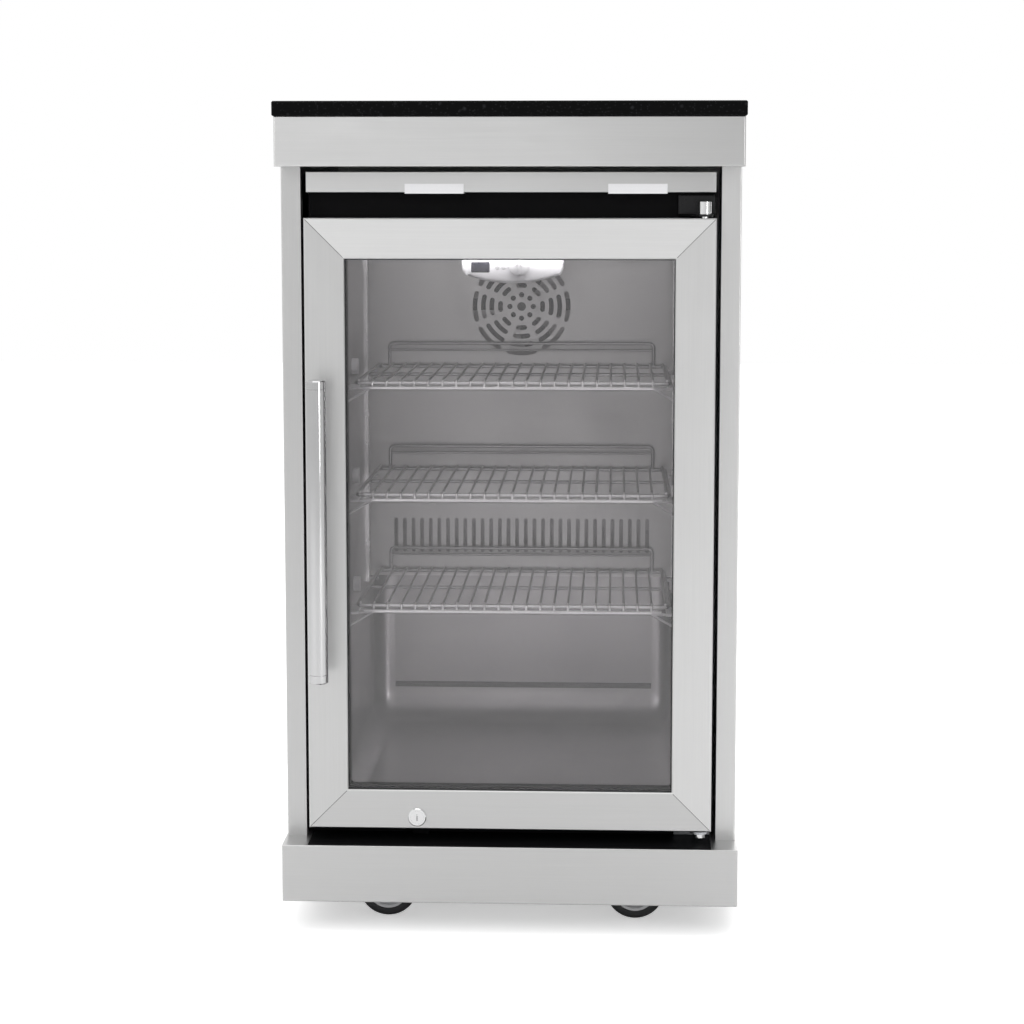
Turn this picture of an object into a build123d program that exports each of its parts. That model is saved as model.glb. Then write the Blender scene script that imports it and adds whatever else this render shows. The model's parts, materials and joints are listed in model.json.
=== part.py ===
"""Outdoor-kitchen refrigerator module: a stainless cabinet with a stone worktop on
four castors, holding a bottle cooler with one glass door.

Millimetres. +Z is up, the front faces -Y, +X is to the right of someone facing the
front. The origin is on the floor, under the middle of the whole module. Depths are
measured back from the face of the cabinet's front stiles and turned into Y by y_at.
"""
from build123d import *
from math import cos, degrees, radians, sin
import os

# ---- Cabinet -------------------------------------------------------------------
body_width = 562.0            # over the two side panels
body_depth = 590.0            # face of the stiles to the face of the back panel
sheet = 1.5                   # stainless sheet of the cabinet
stile_width = 24.0            # folded front edge of each side panel
return_depth = 20.0           # fold behind each stile
rear_flange = 18.0            # fold at the back of each side panel
bay_height = 837.0            # base deck to the underside of the fascia
fascia_height = 60.0
fascia_projection = 48.0      # fascia in front of the stiles
plinth_height = 72.0
plinth_projection = 46.0      # plinth in front of the stiles
bend_radius = 2.0
worktop_thickness = 18.0
worktop_overhang = 2.0
worktop_edge = 1.5            # arris taken off the stone

# ---- Castors -------------------------------------------------------------------
wheel_radius = 37.5
wheel_width = 24.0
wheel_bore_radius = 4.1
axle_radius = 4.05
fork_clearance = 2.0          # each side of the wheel
fork_plate = 2.5
swivel_offset = 24.0          # wheel axle to kingpin
castor_inset = 124.0          # body's side to the middle of a wheel
castor_sweep_gap = 10.0       # plinth's face to the pedal's tip, swung to the front
castor_rear_margin = 92.0     # kingpin of a rear castor, in front of the back panel
castor_crown = 34.5           # top of the wheel to the underside of the base deck
castor_plate_size = (62.0, 56.0)
castor_plate_thickness = 3.0
castor_bolt_spacing = (46.0, 40.0)
castor_bolt_radius = 3.0
kingpin_radius = 5.0
race_radius = 21.0
race_height = 7.0
swivel_gap = 0.5              # between the fixed and the turning race
pedal_overhang = 8.5          # pedal's tip beyond the tyre
pedal_pin_angle = 42.0        # pedal's pin above the wheel's axle
pedal_pin_gap = 1.8           # pin to tyre
pedal_side_gap = 1.0          # pedal narrower than the tyre, each side
pedal_thickness = 3.0
pedal_pin_radius = 2.5

# ---- Refrigerator case ---------------------------------------------------------
fridge_gap = 7.0              # case to each stile's return
kick_height = 18.0            # base deck to the bottom of the door
fascia_gap = 6.0              # fascia's underside to the trim strip
recess_height = 31.0          # dark recess above the door
trim_height = 25.0            # stainless strip above the recess
trim_sheet = 1.2
machine_bay = 123.0           # case's rear wall to the back of the base sheet
case_sheet = 1.0
cavity_wall = 40.0            # case outside to cavity, left and right
cavity_rim = 41.0             # door's outer edge to the cavity, top and bottom
liner_sheet = 1.5
rear_wall = 45.0              # cavity's rear wall to the case's
liner_corner = 28.0           # upright rear corners
liner_cove = 45.0             # floor to rear wall
back_clearance = 10.0         # base sheet to the face of the back panel
foot_radius = 12.0
fit = 0.2                     # between parts that are pushed together

# ---- Door ----------------------------------------------------------------------
door_projection = 28.0        # door face in front of the stiles
door_thickness = 40.0
rail_width = 49.0             # door edge to the glass opening
rail_lip = 10.0               # front lip over the glass
rail_lip_thickness = 4.0
rail_sheet = 2.0
rail_chamfer = 1.2
pane_thickness = 4.0
pane_gap = 12.0
spacer_width = 8.0
gasket_width = 14.0
gasket_inset = 25.0           # door edge to the gasket
gasket_depth = 11.7           # leaves 0.3 to the case
hinge_inset = 14.0            # hinge axis to the door's right edge
hinge_setback = 14.0          # hinge axis behind the door's face
hinge_pin_radius = 4.0
hinge_clearance = 0.05        # radial, pin to bush
bush_wall = 3.0
bush_length = 16.0
bracket_gap = 2.0             # door edge to each hinge bracket
bracket_plate = 3.0
bracket_tip_radius = 10.0
handle_radius = 12.0
handle_wall = 1.5
handle_length = 371.0
handle_inset = 19.0           # handle's centre line to the door's left edge
handle_standoff = 45.0        # door face to the handle's centre line
handle_post_spacing = 206.0
handle_post_radius = 6.0
lock_inset = 135.0            # door's left edge to the lock's axis
lock_rise = 15.0              # lock's axis above the door's bottom edge
lock_barrel_radius = 8.0
lock_housing_radius = 10.0
lock_flange_radius = 11.5
lock_clearance = 0.05
lock_proud = 3.0
cam_length = 28.0
cam_width = 9.0
cam_thickness = 2.5

# ---- Inside the cavity ---------------------------------------------------------
shelf_side_gap = 6.0          # shelf to the uprights on the wall
shelf_front_depth = 55.0
shelf_back_gap = 5.0          # shelf to the evaporator cover
first_deck_rise = 228.0       # cavity floor to the lowest shelf
shelf_pitch = 142.0
shelf_names = ("bottom", "middle", "top")
shelf_nose_drop = 9.0         # deck to the front rail
shelf_upstand = 28.0
rail_wire_radius = 2.5
deck_wire_radius = 1.5
deck_wire_pitch = 17.6
brace_wire_radius = 2.2
weld_bite = 0.4
shelf_corner = 10.0           # bend of the rails at the shelf's corners
shelf_nose_gap = 11.0         # front rail, behind the nose rail
nose_inset = 9.0              # nose rail's end, in from the side rail
strip_width = 13.0
strip_depth = 4.0
strip_sheet = 1.0
strip_slot = (6.0, 9.0)
strip_slot_pitch = 25.0
front_strip_depth = 38.0
rear_strip_setback = 51.0     # evaporator cover to the rear uprights
evaporator_room = 62.0        # evaporator cover to the cavity's rear wall
cover_drop = 12.0             # lowest shelf to the cover's lower edge
cover_sheet = 2.0
grille_drop = 85.0            # cavity ceiling to the grille's centre
grille_rings = (29.0, 41.0, 52.5, 64.0)
grille_slot_width = 6.4
grille_rib = 8.0              # between neighbouring arcs of one ring
grille_hub_radius = 6.0
grille_hole_radius = 3.6
grille_hole_circle = 16.0
return_slot_margin = 34.0     # cavity wall to the outermost slot
return_slot_pitch = 12.0
return_slot_width = 5.5
return_slot_height = 48.0
return_slot_rise = 57.0       # cover's lower edge to the slots' middle
control_width = 127.0
control_front_depth = 60.0
control_length = 70.0
control_height = 41.0
control_bow = 12.0            # how far the lower edge bows down
display_size = (24.0, 14.0)
display_offset = -40.0
knob_radius = 13.0
knob_offset = 8.0
knob_rise = 22.0              # knob's axis above the control's lower edge
spindle_radius = 3.0

# ---- Machinery -----------------------------------------------------------------
evaporator_fan_radius = 58.0
condenser_fan_radius = 62.0
fan_hub_radius = 17.0
fan_blades = 5
fan_thickness = 14.0
shaft_radius = 3.0
shaft_clearance = 0.05
compressor_size = (130.0, 104.0, 150.0)
compressor_inset = 130.0      # case's left side to the compressor's axis
condenser_gap = 145.0         # compressor's axis to the condenser
condenser_inset = 35.0        # case's right side to the condenser
condenser_thickness = 34.0
condenser_height = 150.0

# ---- Worked-out places ---------------------------------------------------------
handle_front = -(door_projection + handle_standoff + handle_radius)
tray_half_width = body_width / 2 + sheet
tray_back = body_depth + sheet
worktop_back = tray_back + worktop_overhang
stile_y = -(handle_front + worktop_back) / 2

fork_gap = wheel_width + 2 * fork_clearance
pedal_width = wheel_width - 2 * pedal_side_gap
pedal_reach = wheel_radius + pedal_overhang
pedal_pin_distance = wheel_radius + pedal_pin_gap + pedal_pin_radius
pedal_pin_place = (pedal_pin_distance * cos(radians(pedal_pin_angle)),
                   pedal_pin_distance * sin(radians(pedal_pin_angle)))
castor_height = 2 * wheel_radius + castor_crown
castor_spacing = body_width - 2 * castor_inset
castor_front_depth = swivel_offset + pedal_reach + castor_sweep_gap - plinth_projection
deck_top = castor_height + sheet
fascia_bottom = deck_top + bay_height
fascia_top = fascia_bottom + fascia_height
plinth_bottom = deck_top - plinth_height
half_body = body_width / 2

trim_top = fascia_bottom - fascia_gap
trim_bottom = trim_top - trim_height
door_bottom = deck_top + kick_height
door_top = trim_bottom - recess_height
half_fridge = half_body - stile_width - fridge_gap

door_face = -door_projection
door_back = door_face + door_thickness
case_front = door_back + gasket_depth + 0.3
machine_depth = body_depth - back_clearance
case_back = machine_depth - machine_bay
cavity_half = half_fridge - cavity_wall
cavity_bottom = door_bottom + cavity_rim
cavity_top = door_top - cavity_rim
cavity_back = case_back - rear_wall
cover_depth = cavity_back - evaporator_room
hinge_x = half_fridge - hinge_inset
hinge_depth = door_face + hinge_setback
lock_z = door_bottom + lock_rise
handle_x = -half_fridge + handle_inset
handle_middle = (door_bottom + door_top) / 2
lock_x = -half_fridge + lock_inset
bush_radius = hinge_pin_radius + bush_wall

shelf_width = 2 * (cavity_half - strip_depth - shelf_side_gap)
shelf_back_depth = cover_depth - shelf_back_gap
shelf_deck_heights = tuple(cavity_bottom + first_deck_rise + index * shelf_pitch
                           for index in range(len(shelf_names)))
cover_bottom = shelf_deck_heights[0] - cover_drop
grille_height = cavity_top - grille_drop
return_slot_count = int(2 * (cavity_half - return_slot_margin) / return_slot_pitch) + 1
return_slot_centre = cover_bottom + return_slot_rise
rear_strip_depth = cover_depth - rear_strip_setback
front_strip_range = (cover_bottom + 1, grille_height - 6)
rear_strip_range = (cover_bottom + 1, cavity_top - 5)
control_bottom = cavity_top - control_height
compressor_x = -half_fridge + compressor_inset
condenser_left = compressor_x + condenser_gap
condenser_right = half_fridge - condenser_inset
condenser_x = (condenser_left + condenser_right) / 2
castor_rear_depth = body_depth - castor_rear_margin


def y_at(depth):
    """Y of a point this far behind the face of the stiles."""
    return stile_y + depth


def block(x0, x1, depth0, depth1, z0, z1):
    """A box between two X, two depths and two heights."""
    centre = Pos((x0 + x1) / 2, y_at((depth0 + depth1) / 2), (z0 + z1) / 2)
    return centre * Box(x1 - x0, depth1 - depth0, z1 - z0)


def rod(radius, start, end):
    """A round bar between two points given as (x, depth, z)."""
    a = Vector(start[0], y_at(start[1]), start[2])
    b = Vector(end[0], y_at(end[1]), end[2])
    return Solid.make_cylinder(radius, (b - a).length, Plane(origin=a, z_dir=b - a))


def joined(pieces):
    """One shape fused from several."""
    pieces = list(pieces)
    return pieces[0].fuse(*pieces[1:]) if len(pieces) > 1 else pieces[0]


def group(pieces):
    """Separate solids kept in one node."""
    return Compound(children=[solid for piece in pieces for solid in piece.solids()])


def front_ring(outer_x, z0, z1, width, depth0, depth1):
    """A rectangular frame of one width, between two depths."""
    hole = block(-outer_x + width, outer_x - width, depth0 - 1, depth1 + 1, z0 + width, z1 - width)
    return block(-outer_x, outer_x, depth0, depth1, z0, z1) - hole


def mitred(ring, outer_x, z0, z1, width):
    """A rectangular frame cut at 45 degrees into bottom, top, left and right."""
    sides = {
        "bottom": [(-outer_x, z0), (outer_x, z0), (outer_x - width, z0 + width),
                   (-outer_x + width, z0 + width)],
        "top": [(-outer_x, z1), (outer_x, z1), (outer_x - width, z1 - width),
                (-outer_x + width, z1 - width)],
        "left": [(-outer_x, z0), (-outer_x, z1), (-outer_x + width, z1 - width),
                 (-outer_x + width, z0 + width)],
        "right": [(outer_x, z0), (outer_x, z1), (outer_x - width, z1 - width),
                  (outer_x - width, z0 + width)],
    }
    pieces = {}
    for name, corners in sides.items():
        face = Plane.XZ * make_face(Polyline(*corners, close=True))
        pieces[name] = ring & extrude(face, amount=body_depth, both=True)
    return pieces


def save(node, shape):
    """Write one node's STEP file."""
    export_step(shape, f"parts/{node}.step")


# ---- Cabinet -------------------------------------------------------------------
def make_worktop():
    """Polished stone slab with a small arris all round."""
    slab = block(-tray_half_width - worktop_overhang, tray_half_width + worktop_overhang,
                 -fascia_projection - worktop_overhang, worktop_back,
                 fascia_top, fascia_top + worktop_thickness)
    return chamfer(slab.edges(), worktop_edge)


def folded_box(front, back, z0, z1, open_from, open_bottom):
    """A folded sheet box with its floor left out behind open_from."""
    outer = block(-tray_half_width, tray_half_width, front, back, z0, z1)
    bends = outer.edges().filter_by(Axis.Z) + outer.faces().sort_by(Axis.Y)[0].edges().filter_by(Axis.X)
    outer = fillet(bends, bend_radius)
    floor = z0 if open_bottom else z0 + sheet
    hollow = block(-tray_half_width + sheet, tray_half_width - sheet,
                   front + sheet, back - sheet, floor, z1 - sheet)
    mouth = block(-tray_half_width + sheet, tray_half_width - sheet,
                  open_from, back - sheet, z0 - 1, z1 - sheet)
    return outer - hollow - mouth


def make_top_tray():
    """Fascia, top, side and rear flanges in one folded tray."""
    return folded_box(-fascia_projection, tray_back, fascia_bottom, fascia_top, 0, False)


def make_base_tray():
    """Inverted tray: the deck, and the plinth round it, over the castors."""
    front = -plinth_projection + sheet
    return folded_box(-plinth_projection, tray_back, plinth_bottom, deck_top, front, True)


def make_side_panel(side):
    """Side wall with its front stile, return and rear flange; side is -1 or 1."""
    def part(inner, outer, depth0, depth1):
        xs = sorted((side * inner, side * outer))
        return block(xs[0], xs[1], depth0, depth1, deck_top, fascia_top - sheet)

    stile_inner = half_body - stile_width
    rear = body_depth - sheet
    wall = joined([
        part(half_body - sheet, half_body, 0, rear),
        part(stile_inner, half_body, 0, sheet),
        part(stile_inner, stile_inner + sheet, 0, return_depth),
        part(half_body - rear_flange, half_body, rear - sheet, rear),
    ])
    bend = wall.edges().filter_by(Axis.Z).sort_by_distance((side * half_body, stile_y, 500))[0]
    wall = fillet(bend, sheet)
    for x, z in back_screw_places():
        wall -= back_screw_shank(x, z)
    return wall


def louvre_rows(x_centre, z0, rows, pitch, length, height):
    """Slots with round ends in a column of rows, cut right through the back panel."""
    slots = []
    for row in range(rows):
        slot = Plane.XZ * SlotOverall(length, height)
        cutter = extrude(slot, amount=4 * sheet, both=True)
        slots.append(Pos(x_centre, y_at(body_depth), z0 + row * pitch) * cutter)
    return slots


louvre_columns = (-140.0, 0.0, 140.0)
louvre_length = 110.0
louvre_slot = 9.0
louvre_pitch = 20.0
gland_x = half_body - 71.0
gland_z = deck_top + 64.0
gland_radius = 11.0


back_screw_radius = 1.9
back_screw_count = 5


def back_screw_places():
    """X and Z of every screw round the back panel."""
    x = half_body - rear_flange / 2
    low = deck_top + 40
    step = (bay_height - 80) / (back_screw_count - 1)
    return [(side * x, low + index * step) for side in (-1, 1) for index in range(back_screw_count)]


def back_screw_shank(x, z):
    """Shank of one back-panel screw, and the hole it sits in."""
    return rod(back_screw_radius, (x, body_depth - 8, z), (x, body_depth, z))


def make_back_panel():
    """Removable back with two banks of air slots and a hole for the cable gland."""
    panel = block(-half_body, half_body, body_depth - sheet, body_depth,
                  deck_top, fascia_top - sheet)
    for x in louvre_columns:
        for slot in louvre_rows(x, deck_top + 40, 8, louvre_pitch, louvre_length, louvre_slot):
            panel -= slot
        for slot in louvre_rows(x, fascia_bottom - 120, 5, louvre_pitch, louvre_length, louvre_slot):
            panel -= slot
    for x, z in back_screw_places():
        panel -= back_screw_shank(x, z)
    return panel - rod(gland_radius, (gland_x, body_depth - 5, gland_z), (gland_x, body_depth + 5, gland_z))


def make_cable_gland():
    """Rubber grommet gripping the edge of its hole, with the way through for a lead."""
    rim = gland_radius + 4
    back = body_depth - sheet
    body = joined([
        rod(gland_radius, (gland_x, back - 4, gland_z), (gland_x, body_depth + 0.5, gland_z)),
        rod(rim, (gland_x, back - 4, gland_z), (gland_x, back, gland_z)),
        rod(rim, (gland_x, body_depth, gland_z), (gland_x, body_depth + 1.4, gland_z)),
    ])
    return body - rod(gland_radius - 5.5, (gland_x, back - 9, gland_z), (gland_x, body_depth + 9, gland_z))


def make_back_screws():
    """Pan-head screws round the edge of the back panel."""
    screws = []
    for x, z in back_screw_places():
        head = rod(4.5, (x, body_depth, z), (x, body_depth + 1.4, z))
        screws.append(head + back_screw_shank(x, z))
    return group(screws)


# ---- Castors -------------------------------------------------------------------
def castor_places():
    """Kingpin X, kingpin depth and name of each castor."""
    places = []
    for row, depth in (("front", castor_front_depth), ("rear", castor_rear_depth)):
        for side, name in ((-1, "left"), (1, "right")):
            places.append((side * castor_spacing / 2 - swivel_offset, depth, f"{row}_{name}"))
    return places


plate_bottom = castor_height - castor_plate_thickness
race_bottom = plate_bottom - race_height
crown_top = race_bottom - swivel_gap
crown_bottom = crown_top - fork_plate
pedal_pin_z = wheel_radius + pedal_pin_place[1]
pedal_pin_shift = swivel_offset + pedal_pin_place[0]     # kingpin to pedal pin


def make_castor_plate(x, depth):
    """Mounting plate with its fixed race and the kingpin."""
    length, width = castor_plate_size
    plate = block(x - length / 2, x + length / 2, depth - width / 2, depth + width / 2,
                  plate_bottom, castor_height)
    plate = fillet(plate.edges().filter_by(Axis.Z), 6)
    race = rod(race_radius, (x, depth, race_bottom), (x, depth, plate_bottom))
    pin = rod(kingpin_radius, (x, depth, crown_bottom - 4), (x, depth, race_bottom))
    head = rod(kingpin_radius + 3, (x, depth, crown_bottom - 5), (x, depth, crown_bottom - 1))
    return joined([plate, race, pin, head])


def make_castor_bolts(x, depth):
    """Four bolts, heads under the plate and shanks screwed into the deck."""
    bolts = []
    for dx in (-0.5, 0.5):
        for dy in (-0.5, 0.5):
            bx = x + dx * castor_bolt_spacing[0]
            by = depth + dy * castor_bolt_spacing[1]
            shank = rod(castor_bolt_radius, (bx, by, plate_bottom - 2), (bx, by, deck_top))
            head = extrude(Pos(bx, y_at(by), plate_bottom - 4) * RegularPolygon(5.5, 6), amount=4)
            bolts.append(shank + head)
    return bolts


def bolt_holes(depth_of_hole=10.0):
    """Cutters for every castor bolt."""
    cutters = []
    for x, depth, _ in castor_places():
        for dx in (-0.5, 0.5):
            for dy in (-0.5, 0.5):
                bx = x + dx * castor_bolt_spacing[0]
                by = depth + dy * castor_bolt_spacing[1]
                cutters.append(rod(castor_bolt_radius, (bx, by, castor_height - depth_of_hole),
                                   (bx, by, castor_height + depth_of_hole)))
    return cutters


def make_castor_fork(x, depth, braked):
    """Turning race, crown and two cheeks, with the wheel's axle fixed across them."""
    axle_x = x + swivel_offset
    cheek_in = fork_gap / 2
    cheek_out = cheek_in + fork_plate
    crown = joined([
        rod(race_radius - 1, (x, depth, crown_bottom), (x, depth, crown_top)),
        block(x - 12, axle_x, depth - cheek_out, depth + cheek_out, crown_bottom, crown_top),
    ])
    cheek_outline = [
        (x - 12, crown_top), (axle_x + 4, crown_top), (x + pedal_pin_shift + 5, pedal_pin_z + 6),
        (x + pedal_pin_shift + 5, pedal_pin_z - 6), (axle_x + 10, wheel_radius - 8),
        (axle_x - 10, wheel_radius - 8),
    ]
    face = Plane.XZ * make_face(Polyline(*cheek_outline, close=True))
    cheek = extrude(face, amount=fork_plate / 2, both=True)
    cheek = fillet(cheek.edges().filter_by(Axis.Y), 4)
    middle = (cheek_in + cheek_out) / 2
    cheeks = [Pos(0, y_at(depth + side * middle), 0) * cheek for side in (-1, 1)]
    axle = rod(axle_radius, (axle_x, depth - cheek_out - 3, wheel_radius),
               (axle_x, depth + cheek_out + 3, wheel_radius))
    fork = joined([crown, *cheeks, axle])
    kingpin = rod(kingpin_radius + 0.05, (x, depth, crown_bottom - 9), (x, depth, crown_top + 1))
    fork -= kingpin
    if braked:
        pin_x = x + pedal_pin_shift
        fork -= rod(pedal_pin_radius + 0.05, (pin_x, depth - 30, pedal_pin_z), (pin_x, depth + 30, pedal_pin_z))
    return fork


def make_castor_wheel(x, depth):
    """Rubber-tyred wheel with a dished hub and a plain bore."""
    axle_x = x + swivel_offset
    wheel = rod(wheel_radius, (axle_x, depth - wheel_width / 2, wheel_radius),
                (axle_x, depth + wheel_width / 2, wheel_radius))
    wheel = fillet(wheel.edges(), 4)
    for side in (-1, 1):
        face = depth + side * wheel_width / 2
        dish = rod(wheel_radius - 9, (axle_x, face - side * 5, wheel_radius), (axle_x, face + side, wheel_radius))
        boss = rod(9, (axle_x, face - side * 5, wheel_radius), (axle_x, face, wheel_radius))
        wheel = wheel - (dish - boss)
    return wheel - rod(wheel_bore_radius, (axle_x, depth - 30, wheel_radius), (axle_x, depth + 30, wheel_radius))


def make_brake_pedal(x, depth):
    """Foot pedal on its own cross pin, tread over the wheel's far side."""
    pin_x = x + pedal_pin_shift
    tip = x + swivel_offset + pedal_reach
    low = wheel_radius
    outline = [
        (pin_x - 4, pedal_pin_z + 4), (pin_x + 5, pedal_pin_z + 4), (tip, low + 6),
        (tip, low), (tip - pedal_thickness, low), (pin_x - 4, pedal_pin_z - 4),
    ]
    tread = Plane.XZ * make_face(Polyline(*outline, close=True))
    arm = Pos(0, y_at(depth), 0) * extrude(tread, amount=pedal_width / 2, both=True)
    pin = rod(pedal_pin_radius, (pin_x, depth - fork_gap / 2 - fork_plate - 1, pedal_pin_z),
              (pin_x, depth + fork_gap / 2 + fork_plate + 1, pedal_pin_z))
    room = rod(wheel_radius + 1.0, (x + swivel_offset, depth - 30, wheel_radius),
               (x + swivel_offset, depth + 30, wheel_radius))
    return (arm - room) + pin


# ---- Refrigerator case ---------------------------------------------------------
def make_fridge_case():
    """Painted steel shell with a front rim round the cavity."""
    outer = block(-half_fridge, half_fridge, case_front, case_back, door_bottom, trim_top)
    inner = block(-half_fridge + case_sheet, half_fridge - case_sheet,
                  case_front + case_sheet, case_back - case_sheet,
                  door_bottom + case_sheet, trim_top - case_sheet)
    return outer - inner - lined_shape(liner_sheet)


def make_insulation():
    """Foam between case and liner, as five slabs."""
    out_x = half_fridge - case_sheet
    in_x = cavity_half + liner_sheet
    front = case_front + case_sheet
    back = case_back - case_sheet
    low = door_bottom + case_sheet
    high = trim_top - case_sheet
    in_low = cavity_bottom - liner_sheet
    in_high = cavity_top + liner_sheet
    return group([
        block(-out_x, -in_x, front, back, low, high),
        block(in_x, out_x, front, back, low, high),
        block(-in_x, in_x, front, back, low, in_low),
        block(-in_x, in_x, front, back, in_high, high),
        block(-in_x, in_x, cavity_back + liner_sheet, back, in_low, in_high),
    ])


def lined_shape(margin):
    """The cavity's shape, or the liner's outside when margin is its sheet."""
    shape = block(-cavity_half - margin, cavity_half + margin, case_front, cavity_back + margin,
                  cavity_bottom - margin, cavity_top + margin)
    rear = shape.faces().sort_by(Axis.Y)[-1]
    shape = fillet(rear.edges().sort_by(Axis.Z)[0], liner_cove + margin)
    uprights = shape.edges().filter_by(Axis.Z).sort_by(Axis.Y)[-2:]
    return fillet(uprights, liner_corner + margin)


def make_liner():
    """Bright metal liner with round rear corners and a coved floor."""
    return lined_shape(liner_sheet) - lined_shape(0)


def make_top_trim():
    """Folded stainless strip above the recess."""
    strip = block(-half_fridge, half_fridge, 0, case_front, trim_bottom, trim_top)
    strip = fillet(strip.faces().sort_by(Axis.Y)[0].edges().filter_by(Axis.X), trim_sheet)
    hollow = block(-half_fridge + trim_sheet, half_fridge - trim_sheet, trim_sheet, case_front + 1,
                   trim_bottom + trim_sheet, trim_top - trim_sheet)
    return strip - hollow


clip_places = (-half_fridge + 157.0, half_fridge - 95.0)
clip_length = 72.0
clip_height = 12.0
clip_sheet = 1.5


def make_trim_clips():
    """Two white angle clips that hold the strip's lower edge to the case."""
    clips = []
    for x in clip_places:
        x0 = x - clip_length / 2
        x1 = x + clip_length / 2
        clips.append(joined([
            block(x0, x1, -clip_sheet, 0, trim_bottom - clip_sheet, trim_bottom - clip_sheet + clip_height),
            block(x0, x1, -clip_sheet, case_front, trim_bottom - clip_sheet, trim_bottom),
        ]))
    return group(clips)


base_sheet = 1.5
kick_front = case_front - 4.0
apron_gap = 0.5               # fittings on the kick plate above the apron


def make_base_pan():
    """Black base sheet: apron on the deck, kick plate, machine-bay floor behind the case."""
    floor = block(-half_fridge, half_fridge, kick_front, machine_depth, door_bottom - base_sheet, door_bottom)
    kick = block(-half_fridge, half_fridge, kick_front, kick_front + base_sheet,
                 deck_top, door_bottom)
    apron = block(-half_fridge, half_fridge, bend_radius - plinth_projection, kick_front + base_sheet,
                  deck_top, deck_top + base_sheet)
    return joined([floor, kick, apron])


def make_feet():
    """Four feet between the base sheet and the cabinet's deck."""
    feet = []
    for x in (-half_fridge + 40, half_fridge - 40):
        for depth in (case_front + 50, machine_depth - 40):
            feet.append(rod(foot_radius, (x, depth, deck_top), (x, depth, door_bottom - base_sheet)))
    return group(feet)


def bracket_outline(x_wide):
    """Plan of a hinge bracket: wide at the case, round at the pin."""
    back = y_at(kick_front)
    tip = Pos(hinge_x, y_at(hinge_depth)) * Circle(bracket_tip_radius)
    web = make_face(Polyline((x_wide, back), (half_fridge, back),
                             (hinge_x + bracket_tip_radius, y_at(hinge_depth)),
                             (hinge_x - bracket_tip_radius, y_at(hinge_depth)), close=True))
    return tip + web


top_plate_bottom = door_top + bracket_gap
bottom_plate_top = door_bottom - bracket_gap
bracket_left = 205.0


def make_hinge_bracket_top():
    """Flat arm above the door with an upright flange against the case."""
    arm = extrude(Pos(0, 0, top_plate_bottom) * bracket_outline(bracket_left), amount=bracket_plate)
    flange = block(bracket_left, half_fridge - fit, kick_front, case_front,
                   top_plate_bottom, trim_bottom - 4)
    return joined([arm, flange]) - hinge_pin_hole(top_plate_bottom)


def make_hinge_bracket_bottom():
    """Flat arm below the door with a flange down the kick plate."""
    low = bottom_plate_top - bracket_plate
    arm = extrude(Pos(0, 0, low) * bracket_outline(bracket_left), amount=bracket_plate)
    flange = block(bracket_left, half_fridge - fit, kick_front - bracket_plate, kick_front,
                   deck_top + base_sheet + apron_gap, bottom_plate_top)
    return joined([arm, flange]) - hinge_pin_hole(low)


def hinge_pin_hole(z):
    """Cutter for a hinge pin through a bracket's plate."""
    return rod(hinge_pin_radius, (hinge_x, hinge_depth, z - 5), (hinge_x, hinge_depth, z + 10))


def make_hinge_pins():
    """Upper pin with its bright cap above the bracket, lower pin with a flat head below."""
    top = top_plate_bottom
    low = bottom_plate_top
    reach = bush_length - 2
    return group([
        joined([
            rod(hinge_pin_radius, (hinge_x, hinge_depth, door_top - reach),
                (hinge_x, hinge_depth, top + bracket_plate)),
            rod(8, (hinge_x, hinge_depth, top + bracket_plate),
                (hinge_x, hinge_depth, top + bracket_plate + 15)),
        ]),
        joined([
            rod(hinge_pin_radius, (hinge_x, hinge_depth, low - bracket_plate),
                (hinge_x, hinge_depth, door_bottom + reach)),
            rod(7, (hinge_x, hinge_depth, low - bracket_plate - 5),
                (hinge_x, hinge_depth, low - bracket_plate)),
        ]),
    ])


def make_hinge_screws():
    """Two screws through each bracket's flange."""
    screws = []
    for z, face in ((trim_bottom - 12, kick_front), (deck_top + 7, kick_front - 3)):
        for x in (bracket_left + 8, bracket_left + 24):
            screws.append(rod(3.5, (x, face - 2, z), (x, face, z)))
    return group(screws)


def make_lock_keeper():
    """Catch on the kick plate: the lowered cam drops behind its front leg."""
    x0 = lock_x - cam_width / 2 - 3
    top = door_bottom - 4
    low = deck_top + base_sheet + apron_gap
    front = door_back - 4
    return joined([
        block(x0, lock_x + 12, kick_front - 2, kick_front, low, top),
        block(x0, x0 + 2, front, kick_front, low, top),
        block(x0, lock_x + 12, front, front + 2, low, top),
    ])


# ---- Inside the cavity ---------------------------------------------------------
def make_strip(side, depth, z0, z1):
    """Slotted upright channel on a side wall."""
    wall = side * cavity_half
    face = side * (cavity_half - strip_depth)
    x0, x1 = sorted((wall, face))
    strip = block(x0, x1, depth - strip_width / 2, depth + strip_width / 2, z0, z1)
    inner = block(x0 + (strip_sheet if side > 0 else 0), x1 - (strip_sheet if side < 0 else 0),
                  depth - strip_width / 2 + strip_sheet, depth + strip_width / 2 - strip_sheet,
                  z0 - 1, z1 + 1)
    strip -= inner
    z = z0 + strip_slot_pitch / 2
    while z < z1 - strip_slot[1]:
        strip -= block(x0 - 1, x1 + 1, depth - strip_slot[0] / 2, depth + strip_slot[0] / 2,
                       z, z + strip_slot[1])
        z += strip_slot_pitch
    return strip


def make_strips():
    """The four slotted uprights."""
    strips = []
    for side in (-1, 1):
        strips.append(make_strip(side, front_strip_depth, *front_strip_range))
        strips.append(make_strip(side, rear_strip_depth, *rear_strip_range))
    return group(strips)


def bent_wire(radius, corners, bend):
    """A wire through corners given as (x, depth, z), bent to one radius."""
    points = [Vector(x, y_at(depth), z) for x, depth, z in corners]
    path = FilletPolyline(*points, radius=bend)
    section = Plane(origin=points[0], z_dir=points[1] - points[0]) * Circle(radius)
    return sweep(section, path=path).solid()


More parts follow.
